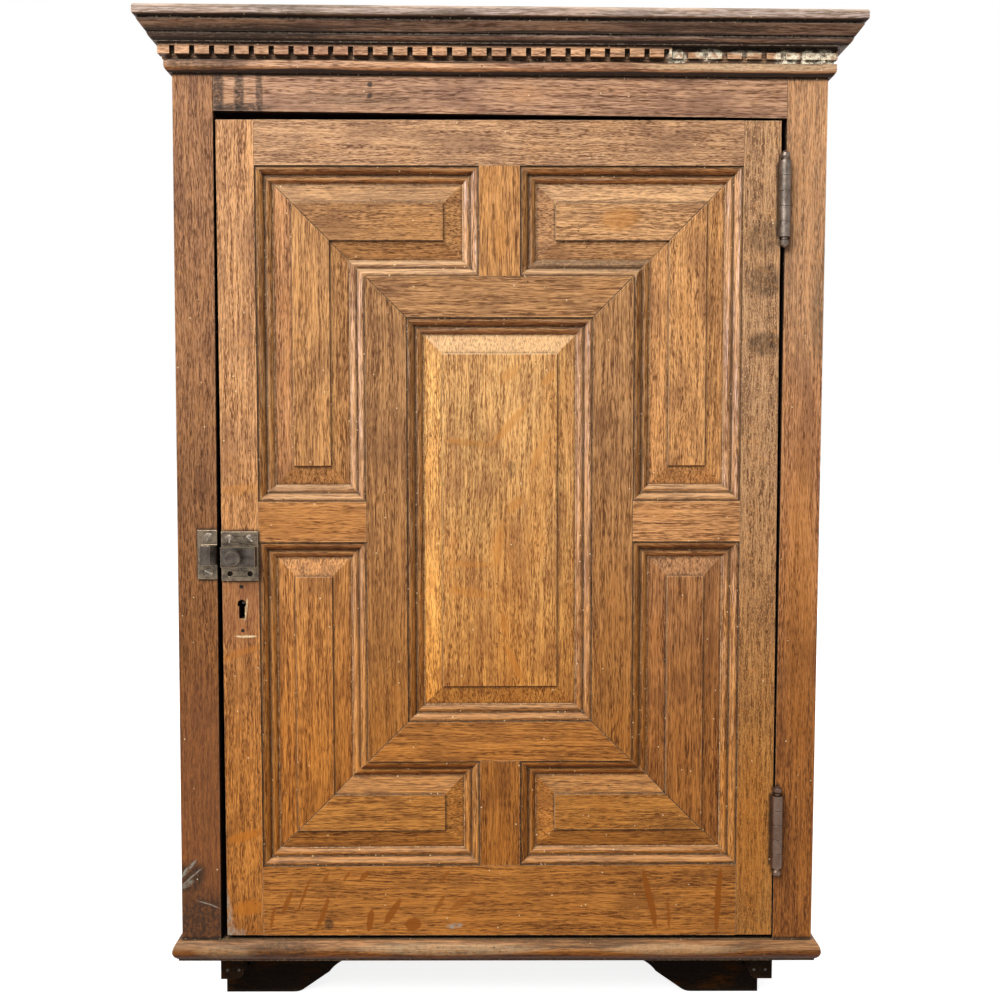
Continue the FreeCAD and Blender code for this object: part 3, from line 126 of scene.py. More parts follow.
class CabinetOak(bpy.types.PropertyGroup):
    """Colours, wear, and painted light and shade of the oak."""

    russet: tone("Russet", "Front stiles and sides of the carcass", (0.378, 0.176, 0.09))
    frieze: tone("Frieze", "Frieze rail", (0.405, 0.225, 0.153))
    umber: tone("Umber", "Crown", (0.348, 0.262, 0.268))
    tawny: tone("Tawny", "Dentils and bed mould", (0.54, 0.297, 0.189))
    base: tone("Base", "Base moulding", (0.318, 0.162, 0.088))
    straw: tone("Straw", "Rails and stiles of the door", (0.504, 0.257, 0.131))
    honey: tone("Honey", "Raised panels", (0.567, 0.279, 0.122))
    brown: tone("Brown", "Inner frame and panel mouldings", (0.427, 0.214, 0.101))
    # This tone is near black: black feet with painted shade under the cabinet.
    soot: tone("Soot", "Feet and their runners", (0.008, 0.0052, 0.0055))
    dry: tone("Dry", "Unwaxed boards inside and behind", (0.306, 0.18, 0.095))
    ray: tone("Ray", "Ribbons of ray that cross the grain", (0.62, 0.26, 0.06))
    flame: tone("Dark ray", "Dark rays of the bottom rail", (0.31, 0.11, 0.018))
    blush: tone("Blush", "Reddened wood where hands touch", (0.27, 0.10, 0.045))
    # This tone is the colour of old dirt, and also of painted shade in creases, recesses and beside the hinge.
    dirt: tone("Dirt", "Old dirt in quirks and pores", (0.030, 0.018, 0.012))
    # This tone is also the colour of the painted highlights on upper faces and on left edges.
    pale: tone("Rubbed edge", "Rubbed arrises, specks and bleached upper faces", (0.90, 0.68, 0.40))
    chip: tone("Chip", "Grey bare wood at chips", (0.40, 0.36, 0.29))
    ridge: tone("Ridge", "Pale worn ridges of the panel mouldings", (0.74, 0.52, 0.38))
    flake: tone("Flake", "Flakes of old filler at the broken dentils", (1.0, 0.90, 0.68))
    # This tone is painted shade: the share of each colour left near the floor, where colours grow darker and
    # more saturated.
    low_shade: tone("Low wax", "Share of each colour left by the deeper wax below", (0.84, 0.63, 0.30))
    shaded: tone("Shaded", "Share of each colour left on faces that look down", (0.70, 0.53, 0.38))
    # This tone is the black of dirt and painted shade in quirks, under mouldings and in holes.
    seam: tone("Seam", "Black lines of dirt along mouldings", (0.018, 0.012, 0.010))
    arris: length("Arris", "Rubbed round on the edges of boards", 0.5)
    # This share sets both the dirt and the painted shade in creases and recesses.
    grime_and_shade: share("Grime", "How much dirt lies in recesses", 0.85)
    # This share sets a painted highlight: upper faces are paler, as if lit from above.
    top_light: share("Bleach", "How pale the upper faces are", 0.95)
    gloss: share("Wax roughness", "Roughness of the waxed face", 0.44)


class CabinetMetal(bpy.types.PropertyGroup):
    """Colours and sizes of the hinges, latch, lock, screws and nails."""

    iron: tone("Iron", "Brown iron of the hinges", (0.18, 0.142, 0.115))
    bronze: tone("Bronze", "Dark bronze of the turn latch", (0.084, 0.067, 0.054))
    lock: tone("Lock iron", "Dull iron of the lock", (0.14, 0.125, 0.11))
    brass: tone("Rubbed brass", "Bright rubbed edges of the latch", (0.62, 0.45, 0.26))
    rust: tone("Rust", "Rust in the hollows of the iron", (0.16, 0.065, 0.028))
    worn_slot: tone("Worn slot", "Bright metal in the slots of the screws", (0.62, 0.55, 0.43))
    screw_radius: length("Screw radius", "Radius of the latch's screw heads", 3.2)
    slot_width: length("Slot width", "Width of the screw slots", 0.8)
    nail_radius: length("Nail radius", "Radius of the nail heads in the foot runners", 1.1)


class CabinetStage(bpy.types.PropertyGroup):
    """Camera, lamps, floor and background."""

    eye: FloatVectorProperty(name="Camera place", description="Where the camera stands",
                             default=(-0.0106, -1.02745, 0.4683), subtype="XYZ", unit="LENGTH")
    aim: FloatVectorProperty(name="Camera turn", description="How the camera is turned", subtype="EULER",
                             default=(math.radians(86.537), math.radians(-0.239), math.radians(-0.669)))
    lens: FloatProperty(name="Lens", description="Focal length in millimetres", default=43.2, min=1.0)
    key_power: FloatProperty(name="Key", description="Power of the soft lamp above the front", default=69.0,
                             unit="POWER", min=0.0)
    sky: share("Sky", "Level of the light from above", 0.465, 4.0)
    ground: share("Ground", "Level of the light from below", 0.066, 4.0)
    floor: tone("Floor", "Pale floor", (0.55, 0.55, 0.545))
    dim: tone("Dim floor", "Floor as it lights the cabinet from below", (0.16, 0.155, 0.15))
    glow: share("Floor glow", "How white the floor shows", 0.86)


class Wire:
    """One output of a finish. Sums on it add Math nodes."""

    def __init__(self, finish, socket):
        self.finish = finish
        self.socket = socket

    def _sum(self, operation, first, second):
        return self.finish.node("ShaderNodeMath", {"operation": operation}, {0: first, 1: second})

    def __add__(self, other):
        return self._sum("ADD", self, other)

    __radd__ = __add__

    def __sub__(self, other):
        return self._sum("SUBTRACT", self, other)

    def __rsub__(self, other):
        return self._sum("SUBTRACT", other, self)

    def __mul__(self, other):
        return self._sum("MULTIPLY", self, other)

    __rmul__ = __mul__

    def __truediv__(self, other):
        return self._sum("DIVIDE", self, other)

    def __rtruediv__(self, other):
        return self._sum("DIVIDE", other, self)

    def rise(self, low, high):
        """0 below low and 1 above high, smooth between. A high below low gives a fall."""
        ends = {"From Min": low, "From Max": high, "To Min": 0.0, "To Max": 1.0}
        if low > high:
            ends = {"From Min": high, "From Max": low, "To Min": 1.0, "To Max": 0.0}
        return self.finish.node("ShaderNodeMapRange", {"interpolation_type": "SMOOTHSTEP"},
                                {"Value": self, **ends})


class Finish:
    """A node material in the making."""

    def __init__(self, name, tree=None):
        self.material = None
        self.tree = tree
        if tree is None:
            self.material = bpy.data.materials.new(name)
            self.material.use_nodes = True
            self.tree = self.material.node_tree
        self.tree.nodes.clear()

    def node(self, kind, settings=None, sockets=None, out=0):
        """Adds a node, its settings first, then its sockets' values or links, and gives one output or some."""
        node = self.tree.nodes.new(kind)
        for key, value in (settings or {}).items():
            setattr(node, key, value)
        for key, value in (sockets or {}).items():
            if isinstance(value, Wire):
                self.tree.links.new(value.socket, node.inputs[key])
            else:
                node.inputs[key].default_value = self.fitted(node.inputs[key], value)
        if isinstance(out, tuple):
            return [Wire(self, node.outputs[key]) for key in out]
        return Wire(self, node.outputs[out]) if len(node.outputs) else None

    @staticmethod
    def fitted(socket, value):
        """A colour with its fourth number where the socket takes four."""
        if socket.type == "RGBA" and len(value) == 3:
            return (*value, 1.0)
        return value

    def blend(self, factor, first, second, mode="MIX"):
        """Mixes two colours."""
        return self.node("ShaderNodeMix", {"data_type": "RGBA", "blend_type": mode},
                         {0: factor, 6: first, 7: second}, 2)

    def joined(self, x, y, z):
        return self.node("ShaderNodeCombineXYZ", {}, {"X": x, "Y": y, "Z": z})

    def zoomed(self, vector, factor):
        return self.node("ShaderNodeVectorMath", {"operation": "SCALE"}, {0: vector, "Scale": factor})

    def parts(self, vector):
        """The three numbers of a vector."""
        return self.node("ShaderNodeSeparateXYZ", {}, {0: vector}, ("X", "Y", "Z"))

    def noise(self, vector, detail, roughness=0.55, twist=0.0):
        return self.node("ShaderNodeTexNoise", {"noise_dimensions": "3D"}, {
            "Vector": vector, "Scale": 1.0, "Detail": detail, "Roughness": roughness, "Distortion": twist})

    def place(self):
        return self.node("ShaderNodeTexCoord", out="Object")

    def rubbed(self, radius):
        """1 on outside edges, falling to 0 a radius away."""
        soft = self.node("ShaderNodeBevel", {"samples": 4}, {"Radius": radius})
        true = self.node("ShaderNodeNewGeometry", out="Normal")
        facing = self.node("ShaderNodeVectorMath", {"operation": "DOT_PRODUCT"}, {0: soft, 1: true}, "Value")
        return (1.0 - facing).rise(0.015, 0.16)

    def hollow(self, reach, low, high):
        """1 deep in recesses, 0 on open faces."""
        open_share = self.node("ShaderNodeAmbientOcclusion", {"samples": 4}, {"Distance": reach}, "AO")
        return (1.0 - open_share).rise(low, high)

    def specks(self, vector, cell, size, kept):
        """Small dots, one in some cells of a grid of that size in millimetres."""
        grid = {"Vector": vector, "Scale": 1.0 / cell}
        near = self.node("ShaderNodeTexVoronoi", {}, grid, "Distance")
        lot = self.parts(self.node("ShaderNodeTexVoronoi", {}, grid, "Color"))[0]
        return near.rise(size / cell, 0.5 * size / cell) * lot.rise(1.0 - kept, 1.0 - kept + 0.02)

    def done(self, **sockets):
        """Adds the main shader and the output and gives the material."""
        named = {key.replace("_", " ").title().replace("Ior", "IOR"): value for key, value in sockets.items()}
        shader = self.node("ShaderNodeBsdfPrincipled", {}, named)
        self.node("ShaderNodeOutputMaterial", {}, {"Surface": shader})
        return self.material


def scaled(colour, factor):
    return tuple(min(1.0, part * factor) for part in colour)


def tinted(colour, shares):
    return tuple(min(1.0, part * left) for part, left in zip(colour, shares))


def between(first, second, amount):
    return tuple(a + (b - a) * amount for a, b in zip(first, second))


class Marking:
    """Soft ovals, listed one by one, on the front of a board."""

    def __init__(self, paint, marks, x, z, front, mottle):
        self.paint = paint
        self.marks = marks
        self.x = x
        self.z = z
        self.front = front
        self.mottle = mottle

    def mask(self, kind, centre, radius, turn, strength):
        """Strength inside an oval, 0 outside. Centre and radius are in millimetres, the turn in degrees."""
        cos, sin = math.cos(math.radians(turn)), math.sin(math.radians(turn))
        right, high = self.x - centre[0], self.z - centre[1]
        along = right * (cos / radius[0]) + high * (sin / radius[0])
        across = high * (cos / radius[1]) - right * (sin / radius[1])
        inside = (along * along + across * across).rise(*EDGE.get(kind, SOFT_EDGE)) * self.front * strength
        torn = TORN.get(kind)
        return inside * ((1.0 - torn) + torn * self.mottle.rise(0.42, 0.54)) if torn else inside

    def laid(self, kinds, tint):
        """A tint with the marks of these kinds laid over it in order, and their masks."""
        masks = []
        for kind, *oval in self.marks:
            if kind in kinds:
                masks.append(self.mask(kind, *oval))
                tint = self.paint.blend(masks[-1], tint, getattr(bpy.context.scene.cabinet_oak, kind))
        return tint, masks


def oak(name, colour, grain, seed, *, rays, marks, wear, side_light, side_shade, top_light, streaks, edge_light,
        flecks, figure, ridges, stretch, dull=0.0, sheen=0.14, waxed=True):
    """Oak with its length along one axis of the cabinet and its own marks."""
    props = bpy.context.scene.cabinet_oak
    paint = Finish(name)
    place = paint.place()
    board = paint.node("ShaderNodeMapping", {}, {
        "Vector": place, "Scale": (1 / MM, 1 / MM, 1 / MM), "Rotation": GRAIN_TURN[grain],
        "Location": [step * seed for step in SEED_STEP]})
    across, deep, along = paint.parts(board)

    def drawn_out(size, *settings, start=across, longer=1.0):
        """Noise of a width and length, measured across the board from a start."""
        width, run = size[0], size[1] * longer
        return paint.noise(paint.joined(start / width, deep / width, along / run), *settings)

    drift = drawn_out(DRIFT, 2.0)
    bent = across + (drift - 0.5) * BEND
    bands = drawn_out(BANDS, 2.0, start=bent).rise(0.34, 0.66)
    lines = drawn_out(LINES, 2.0, 0.65, start=bent, longer=stretch).rise(0.40, 0.60)
    fibre = drawn_out(FIBRE, 1.0, 0.5, start=bent, longer=stretch)
    cloud = drawn_out(CLOUDS, 4.0, 0.6)
    mottle = drawn_out(MOTTLE, 3.0, 0.7)

    # Grain, its pale flecks, clouds and rays
    early = 0.66 * lines + 0.34 * (1.0 - bands)
    tint = paint.blend(early, tinted(colour, LATE_WOOD), tinted(colour, EARLY_WOOD))
    tint = paint.blend(fibre.rise(0.46, 0.38) * flecks, tint, tinted(colour, PALE_FLECK))
    tint = paint.blend(cloud.rise(0.52, 0.34) * 0.6, tint, tinted(colour, DULL_CLOUD))
    tint = paint.blend(cloud.rise(0.52, 0.70) * 0.5, tint, between(tinted(colour, GOLD_CLOUD), props.ray, 0.25))
    smooth = []
    if rays:
        rise = along + RAY_SLOPE * across + (drift - 0.5) * RAY_WAVE
        ribbon = paint.joined(across / RAY_WIDTH + along / RAY_RUN, deep / RAY_WIDTH, rise / RAY_THICK)
        smooth.append(paint.noise(ribbon, 2.0, 0.5, 0.4).rise(0.60, 0.68) * rays)
        tint = paint.blend(smooth[0], tint, between(colour, props.ray, 0.75))
    if figure:
        scales = drawn_out(FISH_SCALES, 1.0, 0.5, start=bent).rise(0.52, 0.62)
        tint = paint.blend(scales * figure, tint, tinted(colour, PALE_SCALE))
    if ridges:
        worn = drawn_out(RIDGE_LINES, 2.0, 0.6).rise(0.54, 0.66)
        tint = paint.blend(worn * ridges, tint, between(scaled(colour, 1.6), props.ridge, 0.65))
    x, y, z = paint.parts(paint.zoomed(place, 1 / MM))
    marking = Marking(paint, marks, x + (mottle - 0.5) * MARK_FRAY + (cloud - 0.5) * MARK_SWAY,
                      z + (drift - 0.5) * MARK_LIFT, y.rise(*MARK_DEPTHS), mottle)
    tint, masks = marking.laid(GRAIN_MARKS, tint)
    smooth += masks
    pores = fibre.rise(0.55, 0.62) * (0.35 + 0.65 * bands)
    if smooth:
        pores = pores * sum(smooth).rise(1.0, 0.2)
    tint = paint.blend(pores * 0.84, tint, tinted(colour, PORE))

    # Painted shade towards the floor and on faces that look down, and painted light or shade on faces to a side
    side, _, up = paint.parts(paint.node("ShaderNodeTexCoord", out="Normal"))
    for amount, left in ((z.rise(*LOW_SHADE_HEIGHTS).rise(1.0, 0.0), props.low_shade if waxed else WHITE),
                         (up.rise(-0.06, -0.55), props.shaded),
                         (side.rise(-0.06, -0.30), side_light),
                         (side.rise(0.06, 0.30), side_shade)):
        tint = paint.blend(amount, tint, paint.blend(1.0, tint, left, "MULTIPLY"))
    # Painted highlight: faces that look up are paler, more so higher up.
    highlit = up.rise(0.06, 0.36) * (0.45 + 0.55 * lines) * (0.5 + 0.5 * z.rise(*TOP_LIGHT_HEIGHTS))
    tint = paint.blend(highlit * (props.top_light * top_light), tint, between(scaled(colour, 1.7), props.pale, 0.55))
    # Painted highlight on faces that look far to the left.
    if edge_light:
        tint = paint.blend(side.rise(-0.60, -0.90) * edge_light, tint, props.pale)

    # Stains, dirt and painted shade in the quirks and recesses, flakes, rubbed edges and specks
    if streaks:
        tint = paint.blend(drawn_out(BLACK_LINES, 3.0, 0.6).rise(0.50, 0.64) * streaks, tint, props.dirt)
    tint, _ = marking.laid(STAINS_AND_SHADE, tint)
    # Ambient occlusion: dirt and painted shade in creases and recesses
    crease = paint.hollow(CREASE, 0.08, 0.28)
    recess = paint.hollow(RECESS, 0.30, 0.90)
    grime_and_shade = (crease * (0.62 + 0.7 * mottle) + recess * 0.95).rise(0.0, 1.0) * props.grime_and_shade
    tint = paint.blend(grime_and_shade, tint, props.dirt)
    # Painted shadow: the deepest recesses, such as the gaps round the door, turn near black.
    tint = paint.blend(recess.rise(0.6, 1.0), tint, NEAR_BLACK)
    tint, _ = marking.laid(FLAKES, tint)
    rub = paint.rubbed(RUB) * mottle.rise(0.38, 0.60) * wear
    tint = paint.blend(rub, tint, between(scaled(colour, 1.5), props.pale, 0.55))
    dots = paint.specks(board, *DOTS) + paint.specks(board, *CREASE_DOTS) * crease
    tint = paint.blend(dots * min(0.85, 2.0 * wear), tint, props.pale)
    pits = paint.specks(board, *PITS)
    tint = paint.blend(pits * 0.75, tint, props.dirt)

    height = lines * 0.5 - pores * 0.9 - pits + mottle * 0.3
    bump = paint.node("ShaderNodeBump", {}, {"Strength": 0.5, "Distance": GRAIN_DEPTH, "Height": height})
    rough = props.gloss + dull + 0.20 * grime_and_shade + 0.16 * (mottle - 0.5) + 0.15 * pores
    return paint.done(base_color=tint, roughness=rough, normal=bump, specular_ior_level=sheen)


def old_metal(name, colour, edge, hollow_tint, rough=0.42, metal=0.85, plate=None, low_darkening=0.0):
    """Patinated metal with rubbed edges, a rusty or black bloom and painted shade in its hollows. A plate
    behind a depth in metres is paler, and metal near the floor can be darker and browner."""
    paint = Finish(name)
    place = paint.place()
    _, y, z = paint.parts(place)
    bloom = paint.noise(paint.zoomed(place, BLOOM), 5.0, 0.65)
    grit = paint.noise(paint.zoomed(place, GRIT), 4.0, 0.6)
    spots = grit.rise(0.52, 0.72)
    tint = paint.blend(bloom.rise(0.35, 0.68), scaled(colour, 0.62), scaled(colour, 1.3))
    if plate is not None:
        worn = y.rise(plate - 0.2 * MM, plate + 0.2 * MM) * bloom.rise(0.30, 0.60)
        tint = paint.blend(worn * 0.22, tint, scaled(edge, 0.75))
    # Darker and browner towards the floor
    if low_darkening:
        tint = paint.blend(z.rise(*LOW_DARK_HEIGHTS) * low_darkening, tint, scaled(hollow_tint, 0.55))
    tint = paint.blend(spots * 0.45, tint, hollow_tint)
    # Dark patina and painted contact shadow in the hollows, as round the latch case
    recess = paint.hollow(METAL_RECESS, 0.2, 0.8)
    tint = paint.blend(recess * 0.85, tint, scaled(hollow_tint, 0.3))
    rub = paint.rubbed(METAL_RUB) * grit.rise(0.34, 0.60) * 0.8
    tint = paint.blend(rub, tint, edge)
    height = grit + 0.6 * bloom
    bump = paint.node("ShaderNodeBump", {}, {"Strength": 0.4, "Distance": GRIT_DEPTH, "Height": height})
    roughness = rough + 0.22 * (bloom - 0.5) + 0.2 * recess - 0.12 * rub
    return paint.done(base_color=tint, roughness=roughness, metallic=metal - 0.35 * spots, normal=bump)


def dress(node, material, arris):
    """Gives a CAD node its finish and a small round on its edges."""
    piece = NODES[node]
    piece.data.materials.clear()
    piece.data.materials.append(material)
    weld = piece.modifiers.new("weld", "WELD")
    weld.merge_threshold = WELD_REACH
    if arris:
        bevel = piece.modifiers.new("arris", "BEVEL")
        bevel.width = arris
        bevel.segments = 2
        bevel.limit_method = "ANGLE"
        bevel.angle_limit = EDGE_ANGLE
        even = piece.modifiers.new("even_shading", "WEIGHTED_NORMAL")
        even.keep_sharp = True


def door_point(x, out, z):
    """A place on the hung door, in millimetres from its middle, its face and the top of the bottom board."""
    rise = z - DOOR_MIDDLE
    return Vector((x * math.cos(DOOR_SAG) - rise * math.sin(DOOR_SAG) + DOOR_SHIFT, FRONT_FACE - out,
                   x * math.sin(DOOR_SAG) + rise * math.cos(DOOR_SAG) + DOOR_MIDDLE + BOARD_TOP)) * MM


def carcass_point(x, out, z):
    """A place on the carcass front, in millimetres as for the door."""
    return Vector((x, FRONT_FACE - out, z + BOARD_TOP)) * MM


# node: tone, brightness, grain and strength of the ray flecks
CARCASS_BOARDS = {
    "carcass_stile_left": ("russet", 0.76, "z", 0.15), "carcass_stile_right": ("russet", 1.12, "z", 0.20),
    "frieze_rail": ("frieze", 0.95, "x", 0.15),
    "side_panel_left": ("russet", 0.95, "z", 0.25), "side_panel_right": ("russet", 1.0, "z", 0.25),
    "crown_mould_front": ("umber", 1.0, "x", 0.0), "crown_mould_left": ("umber", 1.0, "y", 0.0),
    "crown_mould_right": ("umber", 1.0, "y", 0.0),
    "dentil_strip_front": ("tawny", 1.04, "x", 0.0), "dentil_strip_left": ("tawny", 0.85, "y", 0.0),
    "dentil_strip_right": ("tawny", 0.85, "y", 0.0),
    "bed_mould_front": ("tawny", 0.93, "x", 0.0), "bed_mould_left": ("tawny", 0.9, "y", 0.0),
    "bed_mould_right": ("tawny", 0.9, "y", 0.0),
    "base_mould_front": ("base", 1.00, "x", 0.0), "base_mould_left": ("base", 0.9, "y", 0.0),
    "base_mould_right": ("base", 0.9, "y", 0.0),
}
DOOR_BOARDS = {
    "door_stile_latch": ("straw", 1.00, "z", 0.30), "door_stile_hinge": ("straw", 0.86, "z", 0.35),
    "door_rail_top": ("straw", 0.92, "x", 0.12), "door_rail_bottom": ("straw", 0.87, "x", 0.10),
    "door_muntin_top": ("honey", 0.85, "z", 0.30), "door_muntin_bottom": ("straw", 0.82, "z", 0.20),
    "door_crossrail_left": ("straw", 1.00, "x", 0.20), "door_crossrail_right": ("straw", 1.05, "x", 0.20),
    "inner_frame_left": ("brown", 0.86, "z", 0.15), "inner_frame_right": ("brown", 0.90, "z", 0.15),
    "inner_frame_top": ("brown", 0.90, "x", 0.15), "inner_frame_bottom": ("brown", 1.06, "x", 0.15),
    "centre_panel": ("honey", 1.15, "z", 0.12),
    "panel_upper_left_upright": ("honey", 0.80, "z", 0.20),
    "panel_upper_left_cross": ("honey", 0.68, "x", 0.20),
    "panel_upper_right_upright": ("honey", 0.96, "z", 0.20),
    "panel_upper_right_cross": ("honey", 0.94, "x", 0.20),
    "panel_lower_left_upright": ("honey", 0.92, "z", 0.20),
    "panel_lower_left_cross": ("honey", 0.90, "x", 0.20),
    "panel_lower_right_upright": ("honey", 0.69, "z", 0.20),
    "panel_lower_right_cross": ("honey", 0.85, "x", 0.20),
    "panel_moulding_uprights": ("brown", 1.0, "z", 0.0), "panel_moulding_crosses": ("brown", 1.0, "x", 0.0),
}
INSIDE_BOARDS = {
    "back_plank_left": ("dry", 0.85, "z", 0.15), "back_plank_right": ("dry", 0.95, "z", 0.15),
    "shelf_lower": ("dry", 1.0, "x", 0.15), "shelf_upper": ("dry", 1.05, "x", 0.15),
    "bottom_board": ("dry", 0.9, "x", 0.15), "top_board": ("dry", 0.7, "x", 0.15),
}
FOOT_BOARDS = {
    "foot_runner_left": ("soot", 2.2, "y", 0.0), "foot_runner_right": ("soot", 2.2, "y", 0.0),
    "bracket_feet_front": ("soot", 1.0, "x", 0.0), "bracket_feet_rear": ("soot", 1.0, "x", 0.0),
}

# Shares of a tone on boards that have greyed, yellowed or reddened more than their neighbours
GREYED = (0.94, 1.03, 1.22)
GOLDEN = (0.93, 0.88, 0.78)
REDDENED = (0.96, 0.96, 1.18)
CAST = {"door_rail_top": GREYED, "door_stile_hinge": GREYED, "panel_upper_right_cross": GREYED,
        "panel_lower_left_cross": GREYED, "panel_lower_right_cross": GREYED,
        "panel_lower_right_upright": REDDENED,
        "door_muntin_top": GOLDEN, "door_muntin_bottom": GOLDEN, "door_crossrail_left": GOLDEN,
        "base_mould_front": GOLDEN, "base_mould_left": GOLDEN, "base_mould_right": GOLDEN}

# Strength of the pale flecks on some boards, and on all the others
FLECKS = {"door_stile_hinge": 0.3, "carcass_stile_right": 0.6}
PLAIN_FLECKS = 0.45

# Strength of a figure like fish scales
FIGURE = {"door_stile_hinge": 0.75, "door_rail_bottom": 0.25, "panel_lower_right_cross": 0.2}

# How many times longer the lines of the grain run than on the other boards
STRETCH = {"door_rail_bottom": 1.7, "door_crossrail_left": 1.6, "door_crossrail_right": 1.4,
           "door_muntin_top": 1.5, "door_muntin_bottom": 1.5,
           "inner_frame_left": 1.5, "inner_frame_right": 1.5, "inner_frame_top": 1.6, "inner_frame_bottom": 1.6,
           "panel_lower_left_upright": 1.6, "panel_lower_left_cross": 1.6,
           "panel_lower_right_upright": 1.6, "panel_lower_right_cross": 1.4, "panel_upper_left_upright": 1.3,
           "panel_moulding_uprights": 1.6, "panel_moulding_crosses": 1.6,
           "frieze_rail": 1.6, "carcass_stile_right": 1.4,
           "base_mould_front": 1.6, "crown_mould_front": 1.6, "bed_mould_front": 1.6}

# Strength of the pale ridges worn along a moulding
RIDGES = {"panel_moulding_uprights": 0.6, "panel_moulding_crosses": 0.5, "bed_mould_front": 0.3}

# Painted light and shade: shares of a tone left on faces that look to the left on some boards, and on all the
# others
SIDE_LIGHT = {"centre_panel": (1.30, 1.30, 1.15), "panel_moulding_uprights": (1.30, 1.45, 1.85),
              "panel_upper_left_upright": (0.92, 0.88, 1.0), "panel_upper_right_cross": (0.70, 0.64, 0.60),
              "panel_lower_right_cross": (1.08, 1.03, 1.0)}
PLAIN_SIDE_LIGHT = (0.92, 0.90, 0.88)

# Painted shade: shares of a tone left on faces that look to the right
SIDE_SHADE = {"panel_moulding_uprights": (0.78, 0.72, 0.55)}

# Strength of the black streaks on a tone
STREAKS = {"umber": 0.55, "tawny": 0.3, "base": 0.5}

# Strength of the painted highlight on upper faces on some boards, and on all the others
TOP_LIGHT = {"centre_panel": 1.0, "panel_moulding_crosses": 0.6, "crown_mould_front": 0.6,
          "base_mould_front": 0.6}
PLAIN_TOP_LIGHT = 0.4

# Strength of the painted highlight on faces that look far to the left, on a tone
EDGE_LIGHT = {"honey": 0.55}
